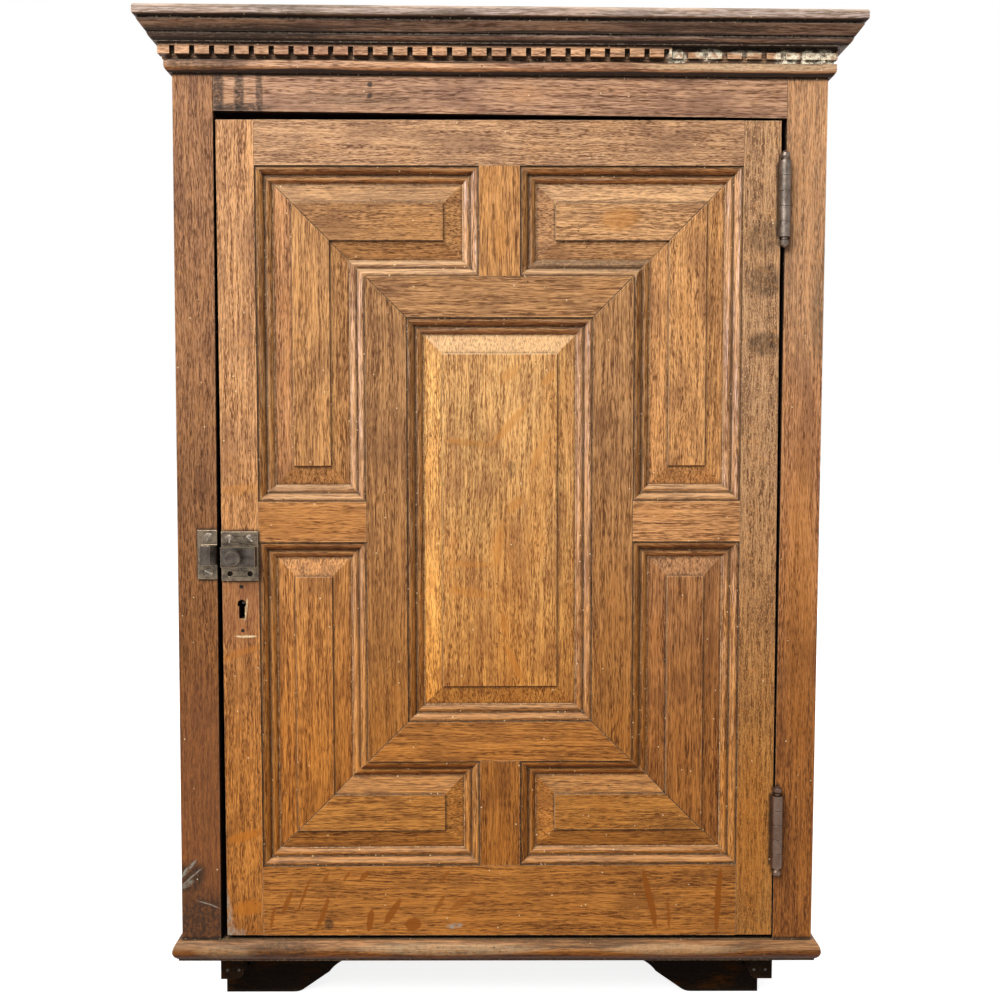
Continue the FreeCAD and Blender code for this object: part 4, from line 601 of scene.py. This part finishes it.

# node: the kind of each mark, its middle in x and z, half its width and height, its turn and its strength
# Seam marks are black lines and spots of dirt and painted shade in quirks, under mouldings and in holes.
MARKS = {
    "carcass_stile_left": (("blush", (-234, 150), (26, 120), 0, 0.40),
                           ("dirt", (-234, 280), (28, 190), 0, 0.22),
                           ("dirt", (-234, 62), (32, 40), 0, 0.85),
                           ("dirt", (-244, 112), (14, 11), 40, 0.85),
                           ("chip", (-246, 117), (11, 1.4), 50, 0.7),
                           ("chip", (-241, 113), (9, 0.7), 42, 0.6),
                           ("chip", (-246, 106), (6, 2.2), 30, 0.5),
                           ("chip", (-228, 90), (10, 0.5), -18, 0.7)),
    "carcass_stile_right": (("dirt", (248, 560), (7, 40), 0, 0.4), ("ray", (236, 330), (10, 120), 0, 0.35),
                            ("pale", (236, 650), (24, 130), 0, 0.14),
                            ("dirt", (236, 170), (26, 160), 0, 0.3)),
    "frieze_rail": (("dirt", (-215, 721), (4.4, 22), 0, 0.85), ("dirt", (-199, 721), (3.6, 22), 0, 0.85),
                    ("dirt", (-184, 721), (2.6, 22), 0, 0.75), ("dirt", (-200, 710), (24, 3.4), 0, 0.85),
                    ("seam", (-99.7, 728.7), (1.9, 1.9), 0, 0.85),
                    ("seam", (-99.8, 720.5), (2.0, 2.0), 0, 0.85),
                    ("dirt", (-110, 717), (40, 5), 0, 0.35)),
    # The crown's seams are dirt and painted shade in its quirks.
    "crown_mould_front": (("pale", (0, 777.5), (900, 4.2), 0, 0.10),
                          ("seam", (0, 771.0), (900, 1.3), 0, 0.85),
                          ("seam", (0, 762), (900, 1.5), 0, 0.85), ("seam", (0, 756.8), (900, 1.2), 0, 0.8),
                          ("dirt", (-205, 760), (80, 6), 0, 0.8), ("dirt", (150, 766), (60, 4), 0, 0.35)),
    # The bed mould's seams are painted shadow and dirt, under its round and below the dentils.
    "bed_mould_front": (("seam", (0, 735.8), (900, 2.0), 0, 0.95), ("seam", (0, 744.8), (900, 0.9), 0, 0.8),
                        ("dirt", (-225, 741.5), (32, 4), 0, 0.65),
                        ("pale", (190, 741.5), (80, 3), 0, 0.35)),
    "dentil_strip_front": (("seam", (193, 754.9), (66, 2.3), 0, 0.95),
                           ("dirt", (-206, 749), (30, 7), 0, 0.35), ("flake", (133, 749), (7, 6), 0, 1.0),
                           ("flake", (158, 751), (10, 4), 0, 0.9), ("flake", (217, 749), (9, 5), 0, 1.0),
                           ("flake", (233, 749), (5, 6), 0, 1.0), ("flake", (246, 749), (8, 6), 0, 1.0),
                           ("flake", (186, 752), (12, 2), 0, 0.6)),
    # The seam under the base mould's nose is painted shadow and dirt.
    "base_mould_front": (("dirt", (-170, 56), (26, 7), 0, 0.6), ("seam", (0, 46.6), (900, 1.8), 0, 0.8),
                         ("dirt", (60, 60), (40, 3), 0, 0.4),
                         ("pale", (-215, 54), (22, 5), 0, 0.15), ("pale", (-40, 56), (70, 4), 0, 0.25),
                         ("pale", (140, 56), (50, 4), 0, 0.22)),
    "door_stile_latch": (("ray", (-199.7, 145.5), (15, 3.6), 16, 0.75),
                         ("ray", (-197.8, 87.4), (11, 6), 4, 0.75),
                         ("ray", (-200.7, 292.2), (16, 2.6), 20, 0.65),
                         ("ray", (-201, 420), (14, 4), 8, 0.4),
                         ("blush", (-202, 338), (20, 44), 0, 0.55),
                         ("chip", (-214.5, 84), (4, 24), 8, 0.55),
                         ("chip", (-208, 67), (8, 4), 0, 0.4),
                         # Painted shadow in the old holes below the latch
                         ("seam", (-209.1, 353.8), (2.9, 2.9), 0, 1.0),
                         ("seam", (-193.7, 353.9), (2.9, 2.9), 0, 1.0),
                         ("seam", (-201.1, 343.5), (1.5, 1.5), 0, 1.0),
                         ("seam", (-200.1, 309.3), (1.4, 1.4), 0, 1.0),
                         ("pale", (-197.6, 304.6), (8, 0.9), 2, 1.0),
                         ("pale", (-197.2, 326), (0.8, 8), -6, 0.9)),
    # The three dark marks beside the upper hinge are its painted contact shadow.
    "door_stile_hinge": (("dirt", (204, 616), (14, 12), 0, 0.5), ("dirt", (204, 582), (14, 12), 0, 0.6),
                         ("dirt", (205, 533), (12, 9), 0, 0.65), ("ray", (200, 150), (12, 70), 0, 0.3)),
    "door_rail_bottom": (("flame", (-178.4, 79.8), (1.3, 9), -8, 0.8),
                         ("flame", (-166.9, 91.9), (1.8, 9), -25, 0.8),
                         ("flame", (-153.5, 97.4), (1.1, 14), -22, 0.8),
                         ("flame", (-136, 110.8), (1.4, 5), -35, 0.7),
                         ("flame", (-119.4, 112), (1.2, 4.5), -33, 0.7),
                         ("flame", (-105.5, 112.8), (2.0, 5), -42, 0.8),
                         ("flame", (-138.5, 82.5), (1.9, 14.5), -20, 0.8),
                         ("flame", (-100.8, 76.8), (2.6, 9), -8, 0.9),
                         ("flame", (-83, 84.1), (2.8, 12), -32, 0.85),
                         ("flame", (-66.9, 74), (6, 5), 20, 0.85),
                         ("flame", (-42.2, 112.9), (1.6, 6), -39, 0.6),
                         ("flame", (-46.2, 89.9), (1.8, 9), -30, 0.6),
                         ("flame", (-27.5, 92.2), (2.6, 12), -57, 0.55),
                         ("flame", (120.8, 94.5), (2.6, 24), 14, 0.9),
                         ("flame", (175.3, 93.7), (2.4, 25), -3, 0.9),
                         ("flame", (135.9, 83.1), (1.4, 12), 6, 0.7),
                         ("dirt", (-133.8, 73.6), (3.6, 4.2), 0, 0.75),
                         ("chip", (-33.8, 72.7), (6, 2), 8, 0.8)),
    "door_crossrail_left": (("ray", (-150, 394), (60, 14), 0, 0.40),),
    "door_muntin_top": (("ray", (0, 615), (5, 18), 0, 0.4),),
    "centre_panel": (("ray", (-24.9, 456.1), (17, 2.6), -6, 0.6),
                     ("ray", (8.1, 470.6), (20, 3.2), 48, 0.65),
                     ("ray", (7.5, 509.3), (9, 3.6), 43, 0.6), ("ray", (37.4, 506.1), (7, 3), 48, 0.6),
                     ("ray", (30.6, 448.9), (18, 2.6), 62, 0.5), ("ray", (12.3, 408.8), (9, 3.4), 45, 0.6),
                     ("ray", (-0.2, 377.4), (18, 3), 83, 0.55), ("ray", (-22.7, 361.6), (19, 2.4), 0, 0.5),
                     ("ray", (-22.7, 339.4), (17, 3.6), -5, 0.5),
                     ("ray", (4.5, 313.4), (10, 2.4), 98, 0.55),
                     ("ray", (11.9, 283.7), (16, 2.6), -65, 0.65), ("dirt", (10, 436), (3, 7), 0, 0.45),
                     ("dirt", (-25, 470), (14, 22), 0, 0.18), ("dirt", (-14, 420), (22, 40), 0, 0.14),
                     ("ray", (34, 440), (9, 90), -8, 0.30), ("ray", (10, 300), (12, 110), 4, 0.25)),
    "panel_upper_right_cross": (("ray", (92, 629), (15, 9), 10, 0.55),),
    # Painted shade that takes the painted highlight off the bottom moulding of the upper right cross.
    "panel_moulding_crosses": (("dirt", (85, 596), (80, 7), 0, 0.65),),
}


def finish_boards(boards, first_seed, **finish):
    """Paints the boards of one of the lists above."""
    props = bpy.context.scene.cabinet_oak
    for count, (node, (name, bright, grain, rays)) in enumerate(boards.items()):
        colour = scaled(tinted(getattr(props, name), CAST.get(node, WHITE)), bright)
        material = oak(f"oak_{node}", colour, grain, first_seed + count, rays=rays, marks=MARKS.get(node, ()),
                       side_light=SIDE_LIGHT.get(node, PLAIN_SIDE_LIGHT),
                       side_shade=SIDE_SHADE.get(node, WHITE), top_light=TOP_LIGHT.get(node, PLAIN_TOP_LIGHT),
                       streaks=STREAKS.get(name, 0.0), edge_light=EDGE_LIGHT.get(name, 0.0),
                       flecks=FLECKS.get(node, PLAIN_FLECKS), figure=FIGURE.get(node, 0.0),
                       ridges=RIDGES.get(node, 0.0), stretch=STRETCH.get(node, 1.0), **finish)
        dress(node, material, props.arris)


class CABINET_OT_carcass(bpy.types.Operator):
    """Finish the carcass boards, crown, dentils and base moulding"""

    bl_idname = "cabinet.carcass"
    bl_label = "Carcass Oak"

    def execute(self, context):
        finish_boards(CARCASS_BOARDS, first_seed=3, wear=0.4)
        return {"FINISHED"}


class CABINET_OT_door(bpy.types.Operator):
    """Finish the door's frame, raised panels and panel mouldings"""

    bl_idname = "cabinet.door"
    bl_label = "Door Oak"

    def execute(self, context):
        finish_boards(DOOR_BOARDS, first_seed=41, wear=0.45)
        return {"FINISHED"}


class CABINET_OT_inside(bpy.types.Operator):
    """Finish the dry boards inside, behind and on top"""

    bl_idname = "cabinet.inside"
    bl_label = "Inside Boards"

    def execute(self, context):
        finish_boards(INSIDE_BOARDS, first_seed=83, wear=0.3, dull=0.25, sheen=0.1, waxed=False)
        return {"FINISHED"}


class CABINET_OT_feet(bpy.types.Operator):
    """Finish the near-black bracket feet and runners: black wood with painted shade"""

    bl_idname = "cabinet.feet"
    bl_label = "Feet"

    def execute(self, context):
        finish_boards(FOOT_BOARDS, first_seed=97, wear=0.06, dull=0.15, sheen=0.04)
        return {"FINISHED"}


# Thickness of the latch plate in millimetres, and the rounds on the edges of the metal in metres
PLATE_THICK = 2.0
FINE_ARRIS = {"hinge": 0.25 * MM, "latch": 0.3 * MM, "lock": 0.3 * MM}


class CABINET_OT_metal(bpy.types.Operator):
    """Finish the hinges, turn latch and lock"""

    bl_idname = "cabinet.metal"
    bl_label = "Hinges, Latch and Lock"

    def execute(self, context):
        props = context.scene.cabinet_metal
        hinge = old_metal("hinge_iron", props.iron, scaled(props.iron, 2.2), props.rust, 0.36, low_darkening=0.6)
        latch = old_metal("latch_bronze", props.bronze, props.brass, BLACK_BLOOM, 0.32,
                          plate=(FRONT_FACE - PLATE_THICK) * MM)
        lock = old_metal("lock_iron", props.lock, scaled(props.lock, 2.4), props.rust, 0.5)
        for node in ("hinge_leaves_door", "hinge_leaves_frame", "hinge_pins"):
            dress(node, hinge, FINE_ARRIS["hinge"])
        for node in ("latch_case", "latch_keeper", "latch_bolt", "latch_knob"):
            dress(node, latch, FINE_ARRIS["latch"])
        for node in ("lock_case", "lock_bolt"):
            dress(node, lock, FINE_ARRIS["lock"])
        return {"FINISHED"}


def start_mesh(add, name, **sizes):
    """Adds a primitive with nothing else selected and names it."""
    bpy.ops.object.select_all(action="DESELECT")
    add(**sizes)
    piece = bpy.context.object
    piece.name = name
    piece.data.name = name
    return piece


def pick_top(piece):
    """Selects in edit mode the faces that look up."""
    bpy.ops.object.mode_set(mode="EDIT")
    bpy.ops.mesh.select_mode(type="FACE")
    bpy.ops.mesh.select_all(action="DESELECT")
    bpy.ops.object.mode_set(mode="OBJECT")
    for face in piece.data.polygons:
        face.select = face.normal.z > 0.9
    bpy.ops.object.mode_set(mode="EDIT")


def settle(piece):
    """Puts a piece's place into its mesh."""
    bpy.ops.object.select_all(action="DESELECT")
    piece.select_set(True)
    bpy.context.view_layer.objects.active = piece
    bpy.ops.object.transform_apply(location=True, rotation=True, scale=True)


def copy_to(model, name, matrix, body):
    """A copy of a model with its own mesh, set in place and riding on a body."""
    piece = bpy.data.objects.new(name, model.data.copy())
    piece.data.name = name
    bpy.context.scene.collection.objects.link(piece)
    piece.matrix_world = matrix
    settle(piece)
    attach(piece, body)


# Steps of a head, as shares of its radius: inset, shift aside and rise
SCREW_STEPS = ((0.30, 0.0, 0.09), (0.32, 0.0, 0.05))
NAIL_STEPS = ((0.22, 0.0, 0.16), (0.35, 0.08, 0.06))


def head_model(name, radius, sides, thick, steps):
    """A round head facing +Z whose top steps in and up. Its thickness is a share of its radius."""
    head = start_mesh(bpy.ops.mesh.primitive_cylinder_add, name, vertices=sides, radius=radius,
                      depth=radius * thick, location=(0, 0, 0))
    pick_top(head)
    for inset, aside, rise in steps:
        bpy.ops.mesh.inset(thickness=radius * inset)
        bpy.ops.transform.translate(value=(radius * aside, 0, radius * rise))
    bpy.ops.object.mode_set(mode="OBJECT")
    return head


def screw_model(radius, slot_width):
    """A countersunk head facing +Z with a slot across it, whose faces take the second finish."""
    head = head_model("screw_model", radius, 28, 0.55, SCREW_STEPS)
    cutter = start_mesh(bpy.ops.mesh.primitive_cube_add, "slot_cutter", size=1.0,
                        location=(0, 0, radius * 0.36))
    cutter.scale = (radius * 2.6, slot_width, radius * 0.42)
    settle(cutter)
    cut = head.modifiers.new("slot", "BOOLEAN")
    cut.operation = "DIFFERENCE"
    cut.solver = "EXACT"
    cut.object = cutter
    bpy.ops.object.select_all(action="DESELECT")
    head.select_set(True)
    bpy.context.view_layer.objects.active = head
    bpy.ops.object.modifier_apply(modifier=cut.name)
    bpy.data.objects.remove(cutter)
    bpy.ops.object.shade_smooth_by_angle(angle=math.radians(28))
    for face in head.data.polygons:
        face.material_index = int(abs(face.center.y) < 0.6 * slot_width and face.center.z > 0.0)
    return head


def nail_model(radius):
    """A hammered round nail head facing +Z."""
    head = head_model("nail_model", radius, 20, 0.6, NAIL_STEPS)
    bpy.ops.object.shade_smooth_by_angle(angle=math.radians(40))
    return head


# name: body, x, out and z in millimetres, and turn of the slot in degrees
LATCH_SCREWS = {
    "screw_latch_left": ("door", -209.7, 1.3, 320.3, 88),
    "screw_latch_right": ("door", -194.3, 1.3, 320.3, -43),
    "screw_keeper_high": ("carcass", -225.6, 1.3, 320.4, 60),
    "screw_keeper_low": ("carcass", -225.6, 1.3, 293.0, -24),
}

# name: x of a nail in a runner. They all have one height and sit in the fronts of the runners. In millimetres
RUNNER_NAILS = {"nail_left_outer": -217.4, "nail_left_inner": -208.2,
                "nail_right_outer": 217.4, "nail_right_inner": 208.2}
NAIL_HEIGHT = 30.5
RUNNER_FRONT = -81.75


def facing_front(place, turn):
    """A matrix that sets a model, made facing +Z, on the front with its slot turned in degrees."""
    upright = Euler((math.radians(90), 0, 0)).to_matrix().to_4x4()
    return Matrix.Translation(place) @ upright @ Matrix.Rotation(math.radians(turn), 4, "Z")


class CABINET_OT_fasteners(bpy.types.Operator):
    """Model the latch's slotted screws and the nails of the foot runners"""

    bl_idname = "cabinet.fasteners"
    bl_label = "Screws and Nails"

    def execute(self, context):
        props = context.scene.cabinet_metal
        screw_finish = old_metal("screw_bronze", scaled(props.bronze, 1.5), props.brass, BLACK_BLOOM)
        slot_finish = old_metal("screw_slot", props.worn_slot, WHITE, props.brass, 0.5, 0.5)
        nail_finish = old_metal("nail_iron", scaled(props.lock, 0.4), scaled(props.lock, 0.9), props.rust,
                                0.6)
        screw = screw_model(props.screw_radius, props.slot_width)
        for finish in (screw_finish, slot_finish):
            screw.data.materials.append(finish)
        for name, (side, x, out, z, turn) in LATCH_SCREWS.items():
            place = door_point(x, out, z) if side == "door" else carcass_point(x, out, z)
            copy_to(screw, name, facing_front(place, turn), side)
        bpy.data.objects.remove(screw)
        nail = nail_model(props.nail_radius)
        nail.data.materials.append(nail_finish)
        for name, x in RUNNER_NAILS.items():
            place = Vector((x, RUNNER_FRONT, NAIL_HEIGHT)) * MM
            copy_to(nail, name, facing_front(place, 17 * x), "carcass")
        bpy.data.objects.remove(nail)
        return {"FINISHED"}


# Side of the floor in metres, heights between which the sky fades, and for each lamp its place, target and size
# in metres and its share of the key's power
FLOOR_SIZE = 30.0
HORIZON = (-0.25, 0.35)
LAMPS = {"key": ((-0.95, -1.75, 1.90), (0.0, -0.1, 0.42), (1.6, 1.3), 1.0),
         "rear": ((0.9, 2.0, 1.9), (0.0, 0.1, 0.4), (1.6, 1.2), 0.5)}


class CABINET_OT_stage(bpy.types.Operator):
    """Set the pale floor, soft lamps, white background and camera"""

    bl_idname = "cabinet.stage"
    bl_label = "Stage"

    def execute(self, context):
        props = context.scene.cabinet_stage
        floor = start_mesh(bpy.ops.mesh.primitive_plane_add, "floor", size=FLOOR_SIZE,
                           location=(0, 0, 0))
        paint = Finish("floor")
        seen = self.seen(paint)
        grain = paint.noise(paint.place(), 3.0)
        pale = paint.blend(grain, scaled(props.floor, 0.98), scaled(props.floor, 1.02))
        shown = paint.node("ShaderNodeAddShader", {}, {
            0: paint.node("ShaderNodeBsdfDiffuse", {}, {"Color": pale}),
            1: paint.node("ShaderNodeEmission", {}, {"Color": WHITE, "Strength": props.glow})})
        dim = paint.node("ShaderNodeBsdfDiffuse", {}, {"Color": props.dim})
        mixed = paint.node("ShaderNodeMixShader", {}, {0: seen, 1: dim, 2: shown})
        paint.node("ShaderNodeOutputMaterial", {}, {"Surface": mixed})
        floor.data.materials.append(paint.material)
        self.light(context, props)
        self.camera(context, props)
        return {"FINISHED"}

    @staticmethod
    def seen(paint):
        """1 for rays that show the background itself."""
        camera, glossy, transmission = paint.node(
            "ShaderNodeLightPath", out=("Is Camera Ray", "Is Glossy Ray", "Is Transmission Ray"))
        return (camera + glossy + transmission).rise(0.0, 1.0)

    def light(self, context, props):
        world = bpy.data.worlds.new("studio")
        context.scene.world = world
        world.use_nodes = True
        paint = Finish("studio", world.node_tree)
        high = paint.parts(paint.node("ShaderNodeTexCoord", out="Generated"))[2]
        level = paint.blend(high.rise(*HORIZON), (props.ground,) * 3, (props.sky,) * 3)
        lamp = paint.node("ShaderNodeBackground", {}, {"Color": level, "Strength": 1.0})
        shown = paint.node("ShaderNodeBackground", {}, {"Color": WHITE, "Strength": 1.0})
        mixed = paint.node("ShaderNodeMixShader", {}, {0: self.seen(paint), 1: lamp, 2: shown})
        paint.node("ShaderNodeOutputWorld", {}, {"Surface": mixed})
        for name, (place, target, size, share_of_key) in LAMPS.items():
            self.lamp(context, name, place, target, size, props.key_power * share_of_key)

    @staticmethod
    def lamp(context, name, place, target, size, power):
        data = bpy.data.lights.new(name, "AREA")
        data.shape = "RECTANGLE"
        data.size, data.size_y = size
        data.energy = power
        lamp = bpy.data.objects.new(name, data)
        lamp.location = place
        lamp.rotation_euler = (Vector(target) - Vector(place)).to_track_quat("-Z", "Y").to_euler()
        context.scene.collection.objects.link(lamp)

    @staticmethod
    def camera(context, props):
        data = bpy.data.cameras.new("camera")
        data.lens = props.lens
        data.sensor_width = 36.0
        data.sensor_fit = "HORIZONTAL"
        camera = bpy.data.objects.new("camera", data)
        camera.location = props.eye
        camera.rotation_euler = props.aim
        context.scene.collection.objects.link(camera)
        context.scene.camera = camera
        context.scene.view_settings.view_transform = "Standard"


OPERATORS = (CABINET_OT_carcass, CABINET_OT_door, CABINET_OT_inside, CABINET_OT_feet, CABINET_OT_metal,
             CABINET_OT_fasteners, CABINET_OT_stage)


class VIEW3D_PT_cabinet(bpy.types.Panel):
    """Finishes of the cabinet, in the order in which they are made"""

    bl_label = "Oak Medicine Cabinet"
    bl_space_type = "VIEW_3D"
    bl_region_type = "UI"
    bl_category = "Cabinet"

    def draw(self, context):
        for operator in OPERATORS:
            self.layout.operator(operator.bl_idname)


GROUPS = {"cabinet_oak": CabinetOak, "cabinet_metal": CabinetMetal, "cabinet_stage": CabinetStage}


def register():
    for name, group in GROUPS.items():
        bpy.utils.register_class(group)
        setattr(bpy.types.Scene, name, PointerProperty(type=group))
    for operator in OPERATORS:
        bpy.utils.register_class(operator)
    bpy.utils.register_class(VIEW3D_PT_cabinet)


def unregister():
    bpy.utils.unregister_class(VIEW3D_PT_cabinet)
    for operator in reversed(OPERATORS):
        bpy.utils.unregister_class(operator)
    for name, group in reversed(GROUPS.items()):
        delattr(bpy.types.Scene, name)
        bpy.utils.unregister_class(group)


def main():
    register()
    for operator in OPERATORS:
        group, action = operator.bl_idname.split(".")
        getattr(getattr(bpy.ops, group), action)()


if __name__ == "__main__":
    main()
